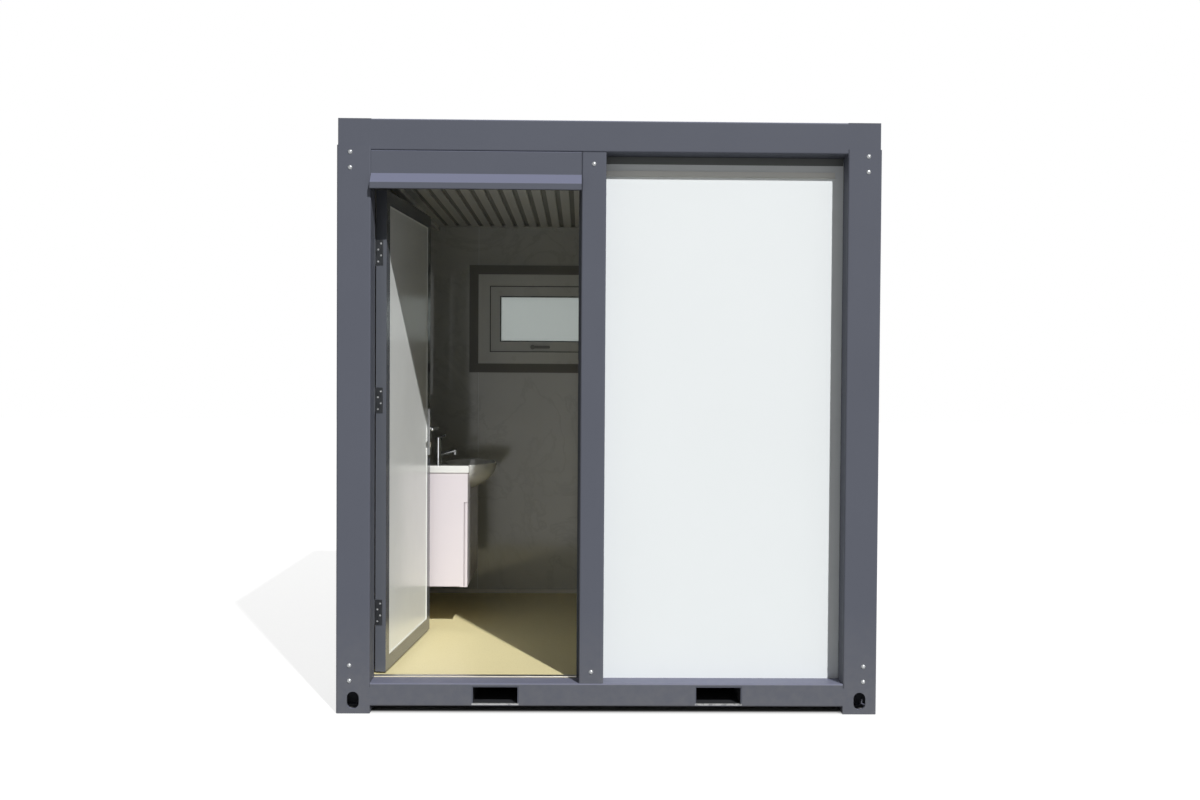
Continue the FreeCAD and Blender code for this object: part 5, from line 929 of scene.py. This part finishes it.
def floor_paint(stage):
    """Matt studio paint: it shows white, but keeps the shadow, and stays dark under the container."""
    material, tree, shader, place = new_material("studio_floor_paint")
    shader.inputs["Roughness"].default_value = 0.9
    shader.inputs["Emission Color"].default_value = (1, 1, 1, 1)
    clouds = add(tree, "ShaderNodeTexNoise", {"Vector": place, "Scale": scale_of(2500)})
    tone = add(tree, "ShaderNodeMix", {"Factor": clouds.outputs["Fac"], "A": rgba(stage.floor, 0.98),
                                       "B": rgba(stage.floor)}, data_type="RGBA")
    tree.links.new(tone.outputs["Result"], shader.inputs["Base Color"])
    split = add(tree, "ShaderNodeSeparateXYZ", {"Vector": place})
    open_air = []
    for axis, edge in zip("XY", CAD_BOX[1]):
        reach = add(tree, "ShaderNodeMath", {0: split.outputs[axis]}, operation="ABSOLUTE")
        past = add(tree, "ShaderNodeMapRange", {"Value": reach.outputs[0], "From Min": edge - GLOW_END,
                                                "From Max": edge - GLOW_START})
        open_air.append(past.outputs["Result"])
    clear = add(tree, "ShaderNodeMath", {0: open_air[0], 1: open_air[1]}, operation="MAXIMUM")
    level = add(tree, "ShaderNodeMath", {0: seen_ray(tree), 1: clear.outputs[0]}, operation="MULTIPLY")
    glow = add(tree, "ShaderNodeMath", {0: level.outputs[0], 1: stage.floor_glow}, operation="MULTIPLY")
    tree.links.new(glow.outputs[0], shader.inputs["Emission Strength"])
    return material


def soft_sky(stage):
    """World that lights softly from all round, and is white where it is seen."""
    world = bpy.data.worlds.new("soft_sky")
    world.use_nodes = True
    tree = world.node_tree
    tree.nodes.clear()
    level = add(tree, "ShaderNodeMapRange", {"Value": seen_ray(tree), "To Min": stage.sky_level})
    sky = add(tree, "ShaderNodeBackground", {"Color": (1, 1, 1, 1), "Strength": level.outputs["Result"]})
    add(tree, "ShaderNodeOutputWorld", {"Surface": sky.outputs["Background"]})
    return world


def hang(lamp, place):
    """Hang a lamp at a place, aimed at the container."""
    holder = bpy.data.objects.new(lamp.name, lamp)
    holder.location = place
    holder.rotation_euler = (Vector(LAMP_AIM) - Vector(place)).to_track_quat("-Z", "Y").to_euler()
    bpy.context.collection.objects.link(holder)


class CONTAINER_OT_stage(bpy.types.Operator):
    """Floor, light and camera"""

    bl_idname = "container.stage"
    bl_label = "Set stage"

    def execute(self, context):
        stage = context.scene.container_stage
        deselect()
        bpy.ops.mesh.primitive_plane_add(size=FLOOR_SIZE, location=(0, 0, -FLOOR_DROP))
        floor = context.object
        floor.name = "studio_floor"
        floor.data.materials.append(floor_paint(stage))
        context.scene.world = soft_sky(stage)
        key = bpy.data.lights.new("key_lamp", "SUN")
        key.energy = stage.key_level
        key.angle = LAMP_SPREAD
        level = math.cos(LAMP_RISE)
        toward = Vector((math.sin(LAMP_SIDE) * level, -math.cos(LAMP_SIDE) * level, math.sin(LAMP_RISE)))
        hang(key, toward * LAMP_DISTANCE)
        back = bpy.data.lights.new("back_lamp", "AREA")
        back.energy = stage.back_power
        back.size = BACK_SIZE
        hang(back, BACK_PLACE)
        camera = bpy.data.cameras.new("photo_camera")
        camera.lens = stage.lens
        camera.sensor_width = SENSOR_WIDTH
        holder = bpy.data.objects.new("photo_camera", camera)
        level_view = Matrix.Rotation(math.radians(90), 4, "X")
        holder.matrix_world = (Matrix.Translation(CAMERA_PLACE) @ Matrix.Rotation(-CAMERA_TURN, 4, "Z")
                               @ Matrix.Rotation(-CAMERA_TIP, 4, "X") @ level_view
                               @ Matrix.Rotation(CAMERA_ROLL, 4, "Z"))
        context.collection.objects.link(holder)
        context.scene.camera = holder
        context.scene.view_settings.view_transform = "Standard"
        return {"FINISHED"}


OPERATORS = (
    CONTAINER_OT_frame, CONTAINER_OT_roof_screws, CONTAINER_OT_walls, CONTAINER_OT_ceiling_gap_strips,
    CONTAINER_OT_ceiling_cove, CONTAINER_OT_threshold_strip, CONTAINER_OT_door, CONTAINER_OT_hinge_screws,
    CONTAINER_OT_leaf_beads, CONTAINER_OT_key_cylinders, CONTAINER_OT_window, CONTAINER_OT_window_gaskets,
    CONTAINER_OT_fittings, CONTAINER_OT_shower_nozzles, CONTAINER_OT_basin_plug, CONTAINER_OT_stage,
)


class CONTAINER_PT_panel(bpy.types.Panel):
    """Sidebar list of the container's steps and settings"""

    bl_label = "Container"
    bl_idname = "CONTAINER_PT_panel"
    bl_space_type = "VIEW_3D"
    bl_region_type = "UI"
    bl_category = "Container"

    def draw(self, context):
        for operator in OPERATORS:
            self.layout.operator(operator.bl_idname)
        for name, group in GROUPS:
            box = self.layout.box()
            for key in group.__annotations__:
                box.prop(getattr(context.scene, name), key)


GROUPS = (
    ("container_looks", ContainerLooks), ("container_sizes", ContainerSizes), ("container_stage", StageLooks),
)


def register():
    for name, group in GROUPS:
        bpy.utils.register_class(group)
        setattr(bpy.types.Scene, name, PointerProperty(type=group))
    for operator in OPERATORS:
        bpy.utils.register_class(operator)
    bpy.utils.register_class(CONTAINER_PT_panel)


def unregister():
    bpy.utils.unregister_class(CONTAINER_PT_panel)
    for operator in reversed(OPERATORS):
        bpy.utils.unregister_class(operator)
    for name, group in reversed(GROUPS):
        delattr(bpy.types.Scene, name)
        bpy.utils.unregister_class(group)


def main():
    register()
    bpy.ops.container.frame()
    bpy.ops.container.roof_screws()
    bpy.ops.container.walls()
    bpy.ops.container.ceiling_gap_strips()
    bpy.ops.container.ceiling_cove()
    bpy.ops.container.threshold_strip()
    bpy.ops.container.door()
    bpy.ops.container.hinge_screws()
    bpy.ops.container.leaf_beads()
    bpy.ops.container.key_cylinders()
    bpy.ops.container.window()
    bpy.ops.container.window_gaskets()
    bpy.ops.container.fittings()
    bpy.ops.container.shower_nozzles()
    bpy.ops.container.basin_plug()
    bpy.ops.container.stage()


if __name__ == "__main__":
    main()
